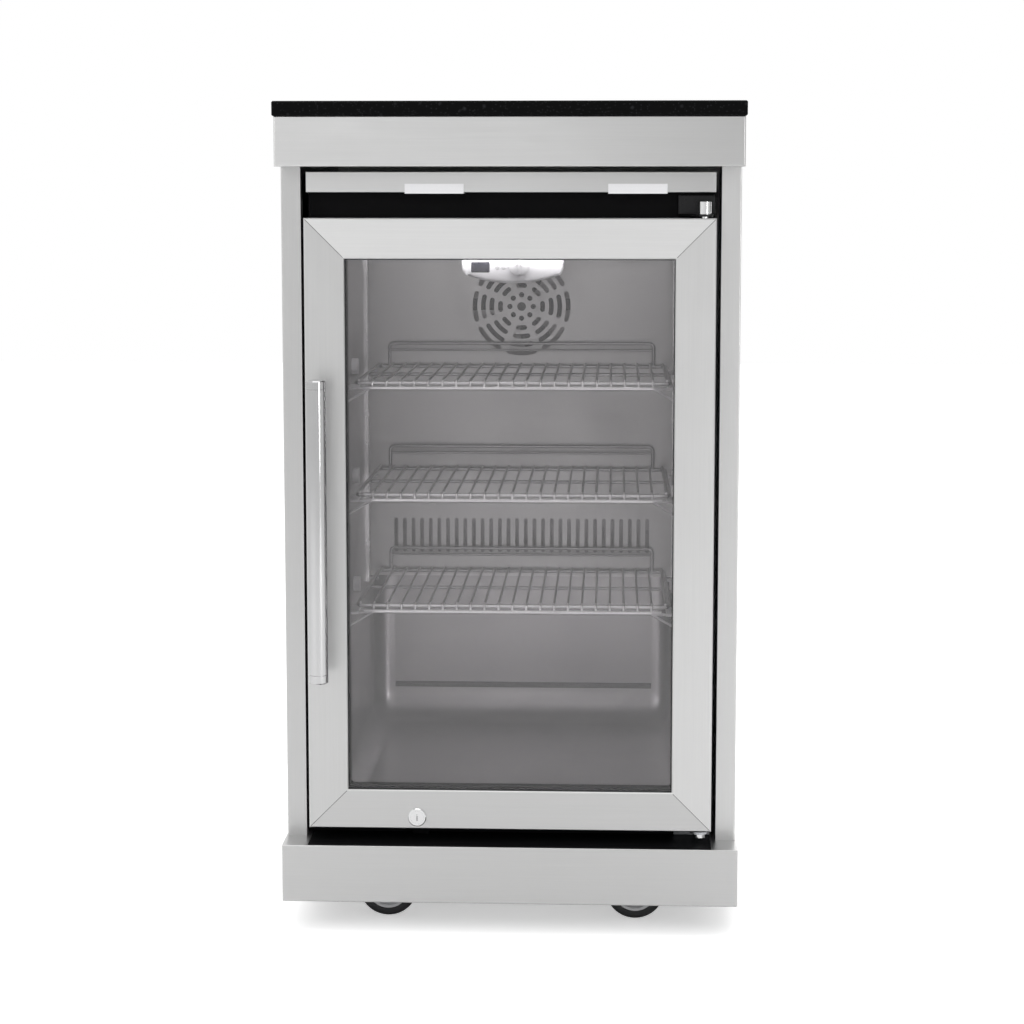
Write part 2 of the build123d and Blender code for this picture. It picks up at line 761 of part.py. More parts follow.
def shelf_rail_height(deck):
    """Height of the rails that the deck wires are welded on."""
    return deck - deck_wire_radius - rail_wire_radius + weld_bite


def make_shelf(deck):
    """Welded wire shelf: rails across, wires front to back, a low rail at the back."""
    side = shelf_width / 2 - rail_wire_radius
    front = shelf_front_depth
    back = shelf_back_depth - rail_wire_radius
    first = front + shelf_nose_gap
    under = shelf_rail_height(deck)
    nose = deck - shelf_nose_drop
    upper = deck + shelf_upstand
    post = side - shelf_corner - 3 * brace_wire_radius
    middle = (first + back) / 2

    pieces = [
        bent_wire(rail_wire_radius, [(0, first, under), (side, first, under), (side, back, under),
                                     (0, back, under)], shelf_corner),
        bent_wire(rail_wire_radius, [(0, first, under), (-side, first, under), (-side, back, under),
                                     (0, back, under)], shelf_corner),
        bent_wire(brace_wire_radius, [(-post, back, under), (-post, back, upper), (post, back, upper),
                                      (post, back, under)], 6),
        rod(deck_wire_radius, (-post, back, upper - 9), (post, back, upper - 9)),
        rod(brace_wire_radius, (-side, middle, under), (side, middle, under)),
        rod(rail_wire_radius, (-side + nose_inset, front, nose), (side - nose_inset, front, nose)),
    ]
    gaps = int((shelf_width - 4 * rail_wire_radius) / deck_wire_pitch)
    for index in range(gaps + 1):
        x = (index - gaps / 2) * deck_wire_pitch
        if abs(x) < side - nose_inset:
            pieces.append(bent_wire(deck_wire_radius, [(x, back + 1, deck), (x, front, deck),
                                                       (x, front, nose)], 3))
        else:
            pieces.append(rod(deck_wire_radius, (x, back + 1, deck), (x, first - 1, deck)))
    return joined(pieces)


clip_thickness = 3.0
clip_reach = 12.0             # seat, in from the strip's face
clip_hook = 14.0              # hook down the strip's face
clip_hook_thickness = 2.0
clip_arm = 30.0               # wire arm of a front clip, in from the strip's face
clip_brace_drop = 18.0        # foot of the arm's diagonal brace below the seat
bumper_radius = 10.0          # round bumper on the wall beside each shelf
bumper_gap = 2.0              # bumper to the shelf's side
bumper_depth = 138.0
bumper_rise = 12.0            # bumper's middle above the deck


def make_clip_arm(side, seat_top):
    """Braced wire arm of a front clip: a plate down the strip, a level wire and a diagonal."""
    face = cavity_half - strip_depth
    plate_face = face - clip_hook_thickness
    half_plate = strip_width / 2 - 1
    low = seat_top - clip_brace_drop
    level = seat_top - clip_thickness / 2
    x0, x1 = sorted((side * face, side * plate_face))
    plate = block(x0, x1, front_strip_depth - half_plate, front_strip_depth + half_plate,
                  low - deck_wire_radius, seat_top)
    root = side * (plate_face + clip_hook_thickness / 4)
    tip = side * (face - clip_arm)
    return joined([
        plate,
        rod(deck_wire_radius, (root, front_strip_depth, level), (tip, front_strip_depth, level)),
        rod(deck_wire_radius, (root, front_strip_depth, low), (tip, front_strip_depth, level)),
    ])


def make_shelf_clips():
    """At each corner of each shelf, a seat under the side rail and a hook on the strip.

    A front clip has a braced wire arm as well, and a bumper stands on the wall behind it.
    """
    clips = []
    face = cavity_half - strip_depth
    bumper_face = shelf_width / 2 + bumper_gap
    half_clip = strip_width / 2 - 1
    for deck in shelf_deck_heights:
        seat_top = shelf_rail_height(deck) - rail_wire_radius
        for side in (-1, 1):
            x0, x1 = sorted((side * face, side * (face - clip_reach)))
            h0, h1 = sorted((side * face, side * (face - clip_hook_thickness)))
            front_reach = shelf_front_depth + shelf_nose_gap + shelf_corner + 6
            for near, far, arm in ((front_strip_depth - half_clip, front_reach, True),
                                   (rear_strip_depth - half_clip, rear_strip_depth + half_clip, False)):
                seat = block(x0, x1, near, far, seat_top - clip_thickness, seat_top)
                hook = block(h0, h1, near, near + 2 * half_clip, seat_top - clip_hook, seat_top)
                clip = [seat, hook, make_clip_arm(side, seat_top)] if arm else [seat, hook]
                clips.append(joined(clip))
            wall_side = (side * cavity_half, bumper_depth, deck + bumper_rise)
            clips.append(rod(bumper_radius, (side * bumper_face, *wall_side[1:]), wall_side))
    return group(clips)


def grille_arc(radius, angle):
    """Cutter for one arc-shaped slot of the fan grille."""
    span = 45 - degrees_of(grille_rib + grille_slot_width, radius)
    arc = CenterArc((0, 0), radius, angle - span / 2, span)
    return SlotArc(arc, grille_slot_width)


def degrees_of(length, radius):
    """Angle that a length takes up on a circle."""
    return degrees(length / radius)


def make_evaporator_cover():
    """Folded cover across the back of the cavity, with fan grille and return slots."""
    edge = cavity_half - fit
    cover = joined([
        block(-edge, edge, cover_depth, cover_depth + cover_sheet, cover_bottom, cavity_top - fit),
        block(-edge + liner_corner, edge - liner_corner, cover_depth, cavity_back,
              cover_bottom, cover_bottom + cover_sheet),
    ])
    pattern = Circle(grille_hub_radius)
    for index in range(8):
        angle = index * 45
        pattern += Pos(grille_hole_circle * cos(radians(angle)),
                       grille_hole_circle * sin(radians(angle))) * Circle(grille_hole_radius)
        for radius in grille_rings:
            pattern += grille_arc(radius, angle)
    placed = Pos(0, y_at(cover_depth), grille_height) * (Plane.XZ * pattern)
    cover -= extrude(placed, amount=3 * cover_sheet, both=True)
    for index in range(return_slot_count):
        x = (index - (return_slot_count - 1) / 2) * return_slot_pitch
        slot = Plane.XZ * SlotOverall(return_slot_height, return_slot_width, rotation=90)
        cutter = extrude(slot, amount=3 * cover_sheet, both=True)
        cover -= Pos(x, y_at(cover_depth), return_slot_centre) * cutter
    return cover


coil_rows = (cover_bottom + 114.0, grille_height - 100.0)
coil_half = cavity_half - 52.0
fin_pitch = 14.0


def make_evaporator_coil():
    """Tube coil with fins behind the cover."""
    front = cover_depth + 14
    back = cavity_back - 8
    tubes = []
    z = coil_rows[0] + 15
    while z < coil_rows[1] - 10:
        for depth in (front + 12, back - 12):
            tubes.append(rod(4, (-coil_half, depth, z), (coil_half, depth, z)))
        z += 26
    fins = []
    x = -coil_half + 18
    while x <= coil_half - 18:
        fins.append(block(x - 0.5, x + 0.5, front, back, *coil_rows))
        x += fin_pitch
    return joined(fins + tubes)


def make_fan(x, z, depth, radius):
    """Five flat blades on a hub, bored for the motor's shaft."""
    hub = rod(fan_hub_radius, (x, depth, z), (x, depth + fan_thickness, z))
    blades = []
    for index in range(fan_blades):
        angle = index * 360 / fan_blades
        blade = Box(radius - 6, 30, 2, align=(Align.MIN, Align.CENTER, Align.CENTER))
        turned = Rot(0, -angle, 0) * (Pos(6, 0, 0) * (Rot(62, 0, 0) * blade))
        blades.append(Pos(x, y_at(depth + fan_thickness / 2), z) * turned)
    swept = rod(radius, (x, depth - 1, z), (x, depth + fan_thickness + 1, z))
    fan = joined([hub] + [blade & swept for blade in blades])
    return fan - rod(shaft_radius + shaft_clearance, (x, depth - 3, z), (x, depth + fan_thickness + 3, z))


def make_fan_motor(x, z, front, back, radius):
    """Motor can with its shaft forward through the fan."""
    can = rod(radius, (x, front + fan_thickness + 3, z), (x, back, z))
    shaft = rod(shaft_radius, (x, front - 1, z), (x, front + fan_thickness + 4, z))
    return can + shaft


def control_outline(inset):
    """Front view of the control housing: flat top, bowed lower edge, round corners."""
    half = control_width / 2 - inset
    low = control_bottom + inset
    shoulder = low + control_bow
    bow = ThreePointArc((-half, shoulder), (0, low), (half, shoulder))
    sides = Polyline((half, shoulder), (half, cavity_top - fit), (-half, cavity_top - fit), (-half, shoulder))
    return make_face(bow + sides)


def make_control_housing():
    """White moulded housing under the cavity's ceiling."""
    front = control_front_depth
    face = Plane.XZ * control_outline(0)
    body = Pos(0, y_at(front), 0) * extrude(face, amount=-control_length)
    body = fillet(body.edges().filter_by(Axis.Y).sort_by(Axis.Z)[:2], 8)
    display = block(display_offset - display_size[0] / 2, display_offset + display_size[0] / 2,
                    front - 1, front + 3, control_bottom + 13, control_bottom + 13 + display_size[1])
    spindle = rod(spindle_radius + shaft_clearance, (knob_offset, front - 2, control_bottom + knob_rise),
                  (knob_offset, front + 14, control_bottom + knob_rise))
    return body - display - spindle


def make_display_window():
    """Dark window let into the control housing."""
    front = control_front_depth
    return block(display_offset - display_size[0] / 2 + fit / 2, display_offset + display_size[0] / 2 - fit / 2,
                 front + 0.5, front + 3, control_bottom + 13 + fit / 2,
                 control_bottom + 13 + display_size[1] - fit / 2)


def make_thermostat_knob():
    """Low white knob with a finger ridge on a spindle."""
    z = control_bottom + knob_rise
    front = control_front_depth
    disc = rod(knob_radius, (knob_offset, front - 4, z), (knob_offset, front - 0.5, z))
    ridge = block(knob_offset - 2, knob_offset + 2, front - 7, front - 3, z - knob_radius + 2, z + knob_radius - 2)
    spindle = rod(spindle_radius, (knob_offset, front - 1, z), (knob_offset, front + 12, z))
    return joined([disc, ridge, spindle])


# ---- Machinery -----------------------------------------------------------------
machine_front = case_back + 8.0
machine_middle = (case_back + machine_depth) / 2


def make_compressor():
    """Welded steel shell on a foot plate with rubber mounts and a line stub."""
    width, depth, height = compressor_size
    foot = block(compressor_x - width / 2 - 15, compressor_x + width / 2 + 15,
                 machine_middle - 42, machine_middle + 42, door_bottom + 12, door_bottom + 15)
    shell = extrude(Pos(compressor_x, y_at(machine_middle), door_bottom + 15)
                    * Ellipse(width / 2, depth / 2), amount=height)
    shell = fillet(shell.edges().sort_by(Axis.Z)[-1], 28)
    stub = rod(4, (compressor_x + 20, machine_middle, door_bottom + height),
               (compressor_x + 20, machine_middle, door_bottom + height + 45))
    mounts = []
    for dx in (-1, 1):
        for dy in (-1, 1):
            mx = compressor_x + dx * (width / 2 + 5)
            my = machine_middle + dy * 32
            mounts.append(rod(9, (mx, my, door_bottom), (mx, my, door_bottom + 12.5)))
    return joined([foot, shell, stub] + mounts)


def make_condenser_coil():
    """Finned tube block behind the case."""
    width = condenser_right - condenser_left
    depth = condenser_thickness
    height = condenser_height
    z0 = door_bottom + 4
    x0 = condenser_left
    fins = []
    x = x0 + 4
    while x <= x0 + width - 4:
        fins.append(block(x - 0.6, x + 0.6, machine_front, machine_front + depth, z0, z0 + height))
        x += fin_pitch
    tubes = []
    z = z0 + 15
    while z < z0 + height - 8:
        for shift in (9, depth - 9):
            tubes.append(rod(4, (x0, machine_front + shift, z), (x0 + width, machine_front + shift, z)))
        z += 24
    feet = [block(x0, x0 + width, machine_front, machine_front + 3, door_bottom, z0 + 6)]
    return joined(fins + tubes + feet)


shroud_front = machine_front + condenser_thickness + 2.0
shroud_depth = 32.0
condenser_z = door_bottom + 4 + condenser_height / 2


def make_condenser_shroud():
    """Square duct round the fan with a three-armed motor support."""
    half = condenser_fan_radius + 12
    back = shroud_front + shroud_depth
    duct = block(condenser_x - half, condenser_x + half, shroud_front, back, door_bottom, condenser_z + half)
    duct -= rod(condenser_fan_radius + 4, (condenser_x, shroud_front - 1, condenser_z),
                (condenser_x, back - 3, condenser_z))
    duct -= rod(condenser_fan_radius - 8, (condenser_x, shroud_front - 1, condenser_z),
                (condenser_x, back + 1, condenser_z))
    arms = []
    for index in range(3):
        arm = block(condenser_x - 4, condenser_x + 4, back - 3, back, condenser_z + 20,
                    condenser_z + condenser_fan_radius)
        centre = Pos(condenser_x, 0, condenser_z)
        arms.append(centre * (Rot(0, 60 + 120 * index, 0) * (centre.inverse() * arm)))
    ring = rod(24, (condenser_x, back - 3, condenser_z), (condenser_x, back, condenser_z))
    return joined([duct, ring] + arms)


def make_motors():
    """The two fan motors, one behind the grille and one in the condenser's shroud."""
    inside = make_fan_motor(0, grille_height, cover_depth + 10, cavity_back - 4, 22)
    bracket = joined([
        block(-70, 70, cavity_back - 4, cavity_back - 2, grille_height - 8, grille_height + 8),
        block(-70, -60, cavity_back - 4, cavity_back, grille_height - 8, grille_height + 8),
        block(60, 70, cavity_back - 4, cavity_back, grille_height - 8, grille_height + 8),
    ])
    fan_front = shroud_front + 3
    outside = rod(20, (condenser_x, fan_front + fan_thickness + 1, condenser_z),
                  (condenser_x, shroud_front + shroud_depth - 3, condenser_z))
    shaft = rod(shaft_radius, (condenser_x, fan_front - 1, condenser_z),
                (condenser_x, fan_front + fan_thickness + 2, condenser_z))
    return group([joined([inside, bracket]), joined([outside, shaft])])


# ---- Door ----------------------------------------------------------------------
def door_body():
    """The whole frame before it is mitred: hollow section with a lip over the glass."""
    frame = block(-half_fridge, half_fridge, door_face, door_back, door_bottom, door_top)
    opening_x = half_fridge - rail_width
    frame -= block(-opening_x, opening_x, door_face - 1, door_back + 1,
                   door_bottom + rail_width, door_top - rail_width)
    frame = chamfer(frame.faces().sort_by(Axis.Y)[0].edges(), rail_chamfer)
    body_width_in = rail_width - rail_lip
    seat_x = half_fridge - body_width_in
    frame -= block(-seat_x, seat_x, door_face + rail_lip_thickness, door_back + 1,
                   door_bottom + body_width_in, door_top - body_width_in)
    hollow = front_ring(half_fridge - rail_sheet, door_bottom + rail_sheet, door_top - rail_sheet,
                        body_width_in - 2 * rail_sheet, door_face + rail_sheet, door_back - rail_sheet)
    return frame - hollow


def bush_places():
    """Start and end of each hinge bush along the axis."""
    return ((door_top - bush_length, door_top), (door_bottom, door_bottom + bush_length))


def door_cutters():
    """Holes through the frame for the bushes, the lock and the handle's screws."""
    cutters = []
    for z0, z1 in bush_places():
        cutters.append(rod(bush_radius, (hinge_x, hinge_depth, z0 - 1 if z0 == door_bottom else z0),
                           (hinge_x, hinge_depth, z1 + 1 if z1 == door_top else z1)))
    cutters.append(rod(lock_housing_radius, (lock_x, door_face - 5, lock_z), (lock_x, door_back + 5, lock_z)))
    return cutters


def make_hinge_bushes():
    """Plastic bushes pressed into the door frame's corners."""
    bushes = []
    for z0, z1 in bush_places():
        sleeve = rod(bush_radius, (hinge_x, hinge_depth, z0), (hinge_x, hinge_depth, z1))
        bore = rod(hinge_pin_radius + hinge_clearance, (hinge_x, hinge_depth, z0 - 1), (hinge_x, hinge_depth, z1 + 1))
        bushes.append(sleeve - bore)
    return group(bushes)


glass_front = door_face + rail_lip_thickness
glass_half = half_fridge - rail_width + rail_lip - fit
glass_bottom = door_bottom + rail_width - rail_lip + fit
glass_top = door_top - rail_width + rail_lip - fit
glass_back = glass_front + 2 * pane_thickness + pane_gap


def make_glass_panes():
    """Outer and inner pane."""
    return group([
        block(-glass_half, glass_half, start, start + pane_thickness, glass_bottom, glass_top)
        for start in (glass_front, glass_back - pane_thickness)
    ])


def make_glass_spacer():
    """Spacer bars round the edge of the gap between the panes."""
    front = glass_front + pane_thickness
    ring = front_ring(glass_half - 1, glass_bottom + 1, glass_top - 1, spacer_width, front, front + pane_gap)
    return group(mitred(ring, glass_half - 1, glass_bottom + 1, glass_top - 1, spacer_width + 1).values())


def make_glazing_bead():
    """Four plastic beads that hold the glass in from behind."""
    ring = front_ring(glass_half, glass_bottom, glass_top, rail_lip - fit, glass_back, door_back)
    return group(mitred(ring, glass_half, glass_bottom, glass_top, rail_lip + 1).values())


def make_door_gasket():
    """Magnetic gasket on the back of the frame, welded from four mitred lengths."""
    outer = half_fridge - gasket_inset
    low = door_bottom + gasket_inset
    high = door_top - gasket_inset
    ring = front_ring(outer, low, high, gasket_width, door_back, door_back + gasket_depth)
    groove = front_ring(outer - 4, low + 4, high - 4, gasket_width - 8, door_back - 1,
                        door_back + gasket_depth - 4)
    return group(mitred(ring - groove, outer, low, high, gasket_width + 1).values())


handle_depth = door_face - handle_standoff
handle_low = handle_middle - handle_length / 2


def handle_posts():
    """The two posts from the door's face into the bar."""
    posts = []
    for side in (-0.5, 0.5):
        z = handle_middle + side * handle_post_spacing
        posts.append(rod(handle_post_radius, (handle_x, handle_depth, z), (handle_x, door_face, z)))
    return posts


def make_handle_bar():
    """Round tube with closed, lightly chamfered ends, cut where the posts enter."""
    bar = rod(handle_radius, (handle_x, handle_depth, handle_low),
              (handle_x, handle_depth, handle_low + handle_length))
    bar = chamfer(bar.edges(), 1.0)
    bore = rod(handle_radius - handle_wall, (handle_x, handle_depth, handle_low + 3),
               (handle_x, handle_depth, handle_low + handle_length - 3))
    bar -= bore
    for post in handle_posts():
        bar -= post
    return bar


def make_lock_housing():
    """Fixed sleeve of the lock with its round flange on the door's face."""
    sleeve = rod(lock_housing_radius, (lock_x, door_face - 1, lock_z), (lock_x, door_back, lock_z))
    flange = rod(lock_flange_radius, (lock_x, door_face - lock_proud, lock_z), (lock_x, door_face, lock_z))
    flange = chamfer(flange.edges().sort_by(Axis.Y)[0], 1)
    bore = rod(lock_barrel_radius + lock_clearance, (lock_x, door_face - 9, lock_z),
               (lock_x, door_back + 9, lock_z))
    return joined([sleeve, flange]) - bore


def make_lock_barrel():
    """Keyed barrel with its cam behind the door, shown unlocked: the cam points right."""
    barrel = rod(lock_barrel_radius, (lock_x, door_face - lock_proud, lock_z),
                 (lock_x, door_back + 1, lock_z))
    keyway = block(lock_x - 1, lock_x + 1, door_face - lock_proud - 1, door_face + 8,
                   lock_z - 4.5, lock_z + 4.5)
    cam = block(lock_x - cam_width / 2, lock_x + cam_length, door_back + 1, door_back + 1 + cam_thickness,
                lock_z - cam_width / 2, lock_z + cam_width / 2)
    return joined([barrel - keyway, cam])


def main():
    """Build every node and write it."""
    os.makedirs("parts", exist_ok=True)

    base = make_base_tray()
    for hole in bolt_holes():
        base -= hole
    save("worktop", make_worktop())
    save("top_tray", make_top_tray())
    save("base_tray", base)
    save("side_panel_left", make_side_panel(-1))
    save("side_panel_right", make_side_panel(1))
    save("back_panel", make_back_panel())
    save("cable_gland", make_cable_gland())
    save("back_screws", make_back_screws())

    plates = []
    bolts = []
    for x, depth, name in castor_places():
        plate = make_castor_plate(x, depth)
        for hole in bolt_holes():
            plate -= hole
        plates.append(plate)
        bolts.extend(make_castor_bolts(x, depth))
        braked = name.startswith("front")
        save(f"castor_fork_{name}", make_castor_fork(x, depth, braked))
        save(f"castor_wheel_{name}", make_castor_wheel(x, depth))
        if braked:
            save(f"brake_pedal_{name}", make_brake_pedal(x, depth))
    save("castor_plates", group(plates))
    save("castor_bolts", group(bolts))

    save("fridge_case", make_fridge_case())
    save("fridge_insulation", make_insulation())
    save("fridge_liner", make_liner())
    save("top_trim", make_top_trim())
    save("trim_clips", make_trim_clips())
    save("fridge_base_pan", make_base_pan())
    save("fridge_feet", make_feet())
    save("hinge_brackets", group([make_hinge_bracket_top(), make_hinge_bracket_bottom()]))
    save("hinge_pins", make_hinge_pins())
    save("hinge_screws", make_hinge_screws())
    save("lock_keeper", make_lock_keeper())

    save("shelf_strips", make_strips())
    save("shelf_clips", make_shelf_clips())
    for name, deck in zip(shelf_names, shelf_deck_heights):
        save(f"shelf_{name}", make_shelf(deck))
    save("evaporator_cover", make_evaporator_cover())
    save("evaporator_coil", make_evaporator_coil())
    save("evaporator_fan", make_fan(0, grille_height, cover_depth + 10, evaporator_fan_radius))
    save("fan_motors", make_motors())
    save("control_housing", make_control_housing())
    save("display_window", make_display_window())
    save("thermostat_knob", make_thermostat_knob())

    save("compressor", make_compressor())
    save("condenser_coil", make_condenser_coil())
    save("condenser_shroud", make_condenser_shroud())
    save("condenser_fan", make_fan(condenser_x, condenser_z, shroud_front + 3, condenser_fan_radius))

    cutters = door_cutters()
    rails = mitred(door_body(), half_fridge, door_bottom, door_top, rail_width + 12)
    names = {"bottom": "door_rail_bottom", "top": "door_rail_top",
             "left": "door_stile_left", "right": "door_stile_right"}
    for place, node in names.items():
        rail = rails[place]
        for cutter in cutters:
            rail -= cutter
        save(node, rail)
    save("glass_panes", make_glass_panes())
    save("glass_spacer", make_glass_spacer())
    save("glazing_bead", make_glazing_bead())
    save("door_gasket", make_door_gasket())
    save("hinge_bushes", make_hinge_bushes())
    save("handle_bar", make_handle_bar())
    save("handle_posts", group(handle_posts()))
    save("lock_housing", make_lock_housing())
    save("lock_barrel", make_lock_barrel())


main()
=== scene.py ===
"""Looks of the outdoor-kitchen refrigerator module, made round its fixed frame.

Laid out as an add-on: property groups hold the sizes and colours, each operator makes one
piece or one group of like pieces, and main() calls them in order. Lengths are in metres,
+Z is up and the module's front faces -Y.
"""
import json
from math import atan2, cos, pi, radians, sin

import bmesh
import bpy
from mathutils import Matrix, Vector


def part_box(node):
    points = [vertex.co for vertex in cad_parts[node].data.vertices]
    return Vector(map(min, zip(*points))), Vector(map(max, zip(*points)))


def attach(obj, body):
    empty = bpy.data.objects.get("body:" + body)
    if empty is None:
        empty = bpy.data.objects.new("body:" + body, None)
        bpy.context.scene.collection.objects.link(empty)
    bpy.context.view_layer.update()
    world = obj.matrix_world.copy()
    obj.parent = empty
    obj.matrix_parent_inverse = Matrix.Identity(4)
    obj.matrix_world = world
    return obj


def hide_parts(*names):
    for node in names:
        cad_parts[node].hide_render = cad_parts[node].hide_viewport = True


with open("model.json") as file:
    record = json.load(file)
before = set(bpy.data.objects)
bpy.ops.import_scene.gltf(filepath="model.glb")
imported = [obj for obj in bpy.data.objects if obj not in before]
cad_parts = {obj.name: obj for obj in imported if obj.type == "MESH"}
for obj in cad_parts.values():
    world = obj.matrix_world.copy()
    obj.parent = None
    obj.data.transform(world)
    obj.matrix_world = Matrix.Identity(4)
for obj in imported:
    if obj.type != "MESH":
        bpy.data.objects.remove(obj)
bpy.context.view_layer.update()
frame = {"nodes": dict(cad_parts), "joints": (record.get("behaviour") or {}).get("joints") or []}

bl_info = {
    "name": "Refrigerator module looks",
    "version": (1, 0, 0),
    "blender": (4, 5, 0),
    "location": "View3D > Sidebar > Module",
    "description": "Finishes and detail pieces of an outdoor-kitchen refrigerator module",
    "category": "Object",
}

nodes = frame["nodes"]


def corner(node):
    """Lowest and highest corner of a frame node."""
    low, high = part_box(node)
    return Vector(low), Vector(high)


stile_face_y = corner("side_panel_left")[0].y
castors = ("front_left", "front_right", "rear_left", "rear_right")


# ---- Sizes and colours -----------------------------------------------------------
def colour_setting(name, description, default):
    """A colour, in linear light."""
    return bpy.props.FloatVectorProperty(name=name, description=description, subtype="COLOR",
                                         default=default, min=0, max=1)


def length_setting(name, description, default):
    """A length in metres."""
    return bpy.props.FloatProperty(name=name, description=description, default=default, unit="LENGTH")


def number_setting(name, description, default):
    """A plain number."""
    return bpy.props.FloatProperty(name=name, description=description, default=default)


class SteelLook(bpy.types.PropertyGroup):
    """Stainless sheet, polished fittings and plated parts."""
    sheet_light: colour_setting(
        "Sheet, light", "Brushed sheet between its grain lines", (0.64, 0.64, 0.638))
    sheet_dark: colour_setting("Sheet, dark", "Brushed sheet in its grain lines", (0.58, 0.58, 0.578))
    sheet_roughness: number_setting("Sheet roughness", "Middle of the brushed sheet's roughness", 0.36)
    grain_across: number_setting(
        "Grain lines per metre", "How fine the brushing is across its lines", 700)
    polished: colour_setting("Polished steel", "Handle, lock and hinge pins", (0.78, 0.78, 0.785))
    plated: colour_setting("Zinc plating", "Castor forks, plates and brackets", (0.52, 0.53, 0.55))
    # Painted shade: the deck wire is the shelves' own wire made darker, for the shade behind the front rails.
    shaded_deck_wire: colour_setting(
        "Deck wire", "Duller wire of the shelves behind their front rails", (0.38, 0.375, 0.38))
    wire: colour_setting("Shelf wire", "Bright plated wire of the shelves", (0.90, 0.90, 0.90))


class CoolerLook(bpy.types.PropertyGroup):
    """The cavity, its glass and its plastic parts."""
    liner: colour_setting("Liner", "Satin metal lining of the cavity", (0.36, 0.352, 0.356))
    cover: colour_setting("Evaporator cover", "Painted sheet across the back", (0.545, 0.545, 0.54))
    glass: colour_setting("Glass", "Tint of the door's two panes", (0.97, 0.96, 0.968))
    black: colour_setting("Black parts", "Case, base sheet and recess", (0.004, 0.004, 0.0045))
    white: colour_setting("White moulding", "Control housing, knob and clips", (0.84, 0.84, 0.855))
    rubber: colour_setting("Rubber", "Gasket, feet and tyres", (0.022, 0.022, 0.023))


class StoneLook(bpy.types.PropertyGroup):
    """The worktop."""
    ground: colour_setting("Stone", "Ground colour of the polished slab", (0.002, 0.002, 0.0022))
    fleck: colour_setting("Flecks", "Mineral flecks in the slab", (0.018, 0.018, 0.02))


class DetailSizes(bpy.types.PropertyGroup):
    """Sizes of the pieces added to the frame."""
    handle_cap: length_setting("Handle end cap", "Length of each end cap of the handle", 0.011)
    louvre_length: length_setting("Louvre length", "Slot of the back panel, end to end", 0.110)
    louvre_pitch: length_setting("Louvre pitch", "From one row of slots to the next", 0.020)
    louvre_height: length_setting("Louvre hood", "Height of the hood over each slot", 0.011)
    louvre_depth: length_setting("Louvre depth", "How far each hood stands out", 0.003)
    cavity_corner: length_setting("Cavity corner", "Radius of the cavity's upright rear corners", 0.028)
    cavity_cove: length_setting("Cavity cove", "Radius from the cavity's floor to its rear wall", 0.045)
    seam_height: length_setting("Seam height", "Width of the sealed joint above the cove", 0.008)
    column_spacing: length_setting("Column spacing", "Between the middles of the slot columns", 0.140)


class StageSizes(bpy.types.PropertyGroup):
    """Camera, floor and light."""
    distance: length_setting("Camera distance", "In front of the stiles", 2.9)
    side: length_setting("Camera to the right", "From the module's centre plane", 0.128)
    height: length_setting("Camera height", "Above the floor", 0.930)
    aim_side: length_setting("Aim to the right", "Point aimed at in the plane of the stiles", 0.002)
    aim_height: length_setting("Aim height", "Point aimed at in the plane of the stiles", 0.588)
    lens: number_setting("Lens", "Focal length, mm", 83.3)
    shift: number_setting("Lens shift", "Upright shift, in sensor widths", -0.05)
    left_light: number_setting("Room light, left", "Strength of the even light from the left", 0.94)
    right_light: number_setting("Room light, right", "Strength of the even light from the right", 0.62)


# ---- Node groups -----------------------------------------------------------------
def shader_group(name, inputs, outputs):
    """An empty node group with its sockets: returns tree, input node and output node."""
    tree = bpy.data.node_groups.new(name, "ShaderNodeTree")
    for label, kind, default in inputs:
        socket = tree.interface.new_socket(name=label, in_out="INPUT", socket_type=kind)
        if default is not None:
            socket.default_value = default
    for label, kind in outputs:
        tree.interface.new_socket(name=label, in_out="OUTPUT", socket_type=kind)
    return tree, tree.nodes.new("NodeGroupInput"), tree.nodes.new("NodeGroupOutput")


def add_node(tree, kind, links=(), **settings):
    """A node with its settings and with links given as (input, socket)."""
    node = tree.nodes.new(kind)
    values = settings.pop("values", {})
    for key, value in settings.items():
        setattr(node, key, value)
    for key, value in values.items():
        node.inputs[key].default_value = value
    for key, socket in links:
        tree.links.new(socket, node.inputs[key])
    return node


def calculate(tree, operation, first, second):
    """A sum on two inputs, each of them a socket or a number."""
    node = tree.nodes.new("ShaderNodeMath")
    node.operation = operation
    for entry, value in zip(node.inputs, (first, second)):
        if hasattr(value, "node"):
            tree.links.new(value, entry)
        else:
            entry.default_value = value
    return node.outputs[0]


def noise(tree, entry, scale, **values):
    """Noise on a group's own coordinates, as fine as one of the group's inputs."""
    return add_node(tree, "ShaderNodeTexNoise",
                    [("Vector", entry.outputs["Vector"]), ("Scale", entry.outputs[scale])],
                    values=values).outputs["Fac"]


def make_grain_group():
    """Fine lines of brushing and the slow patches that rolling leaves."""
    tree, entry, out = shader_group(
        "brushed_grain",
        [("Vector", "NodeSocketVector", None), ("Fineness", "NodeSocketFloat", 700.0),
         ("Patches", "NodeSocketFloat", 5.0)],
        [("Lines", "NodeSocketFloat"), ("Patches", "NodeSocketFloat")])
    tree.links.new(noise(tree, entry, "Fineness", Detail=3.0, Roughness=0.65), out.inputs["Lines"])
    tree.links.new(noise(tree, entry, "Patches", Detail=2.0, Roughness=0.5), out.inputs["Patches"])


def make_marks_group():
    """Handling marks: soft smudges with a few finer streaks in them."""
    tree, entry, out = shader_group(
        "handling_marks",
        [("Vector", "NodeSocketVector", None), ("Scale", "NodeSocketFloat", 9.0),
         ("Cover", "NodeSocketFloat", 0.56)],
        [("Marks", "NodeSocketFloat")])
    cover = entry.outputs["Cover"]
    blots = noise(tree, entry, "Scale", Detail=6.0, Roughness=0.62, Distortion=0.4)
    fade = add_node(tree, "ShaderNodeMapRange",
                    [("Value", blots), ("From Min", cover),
                     ("From Max", calculate(tree, "ADD", cover, 0.16))])
    tree.links.new(fade.outputs["Result"], out.inputs["Marks"])


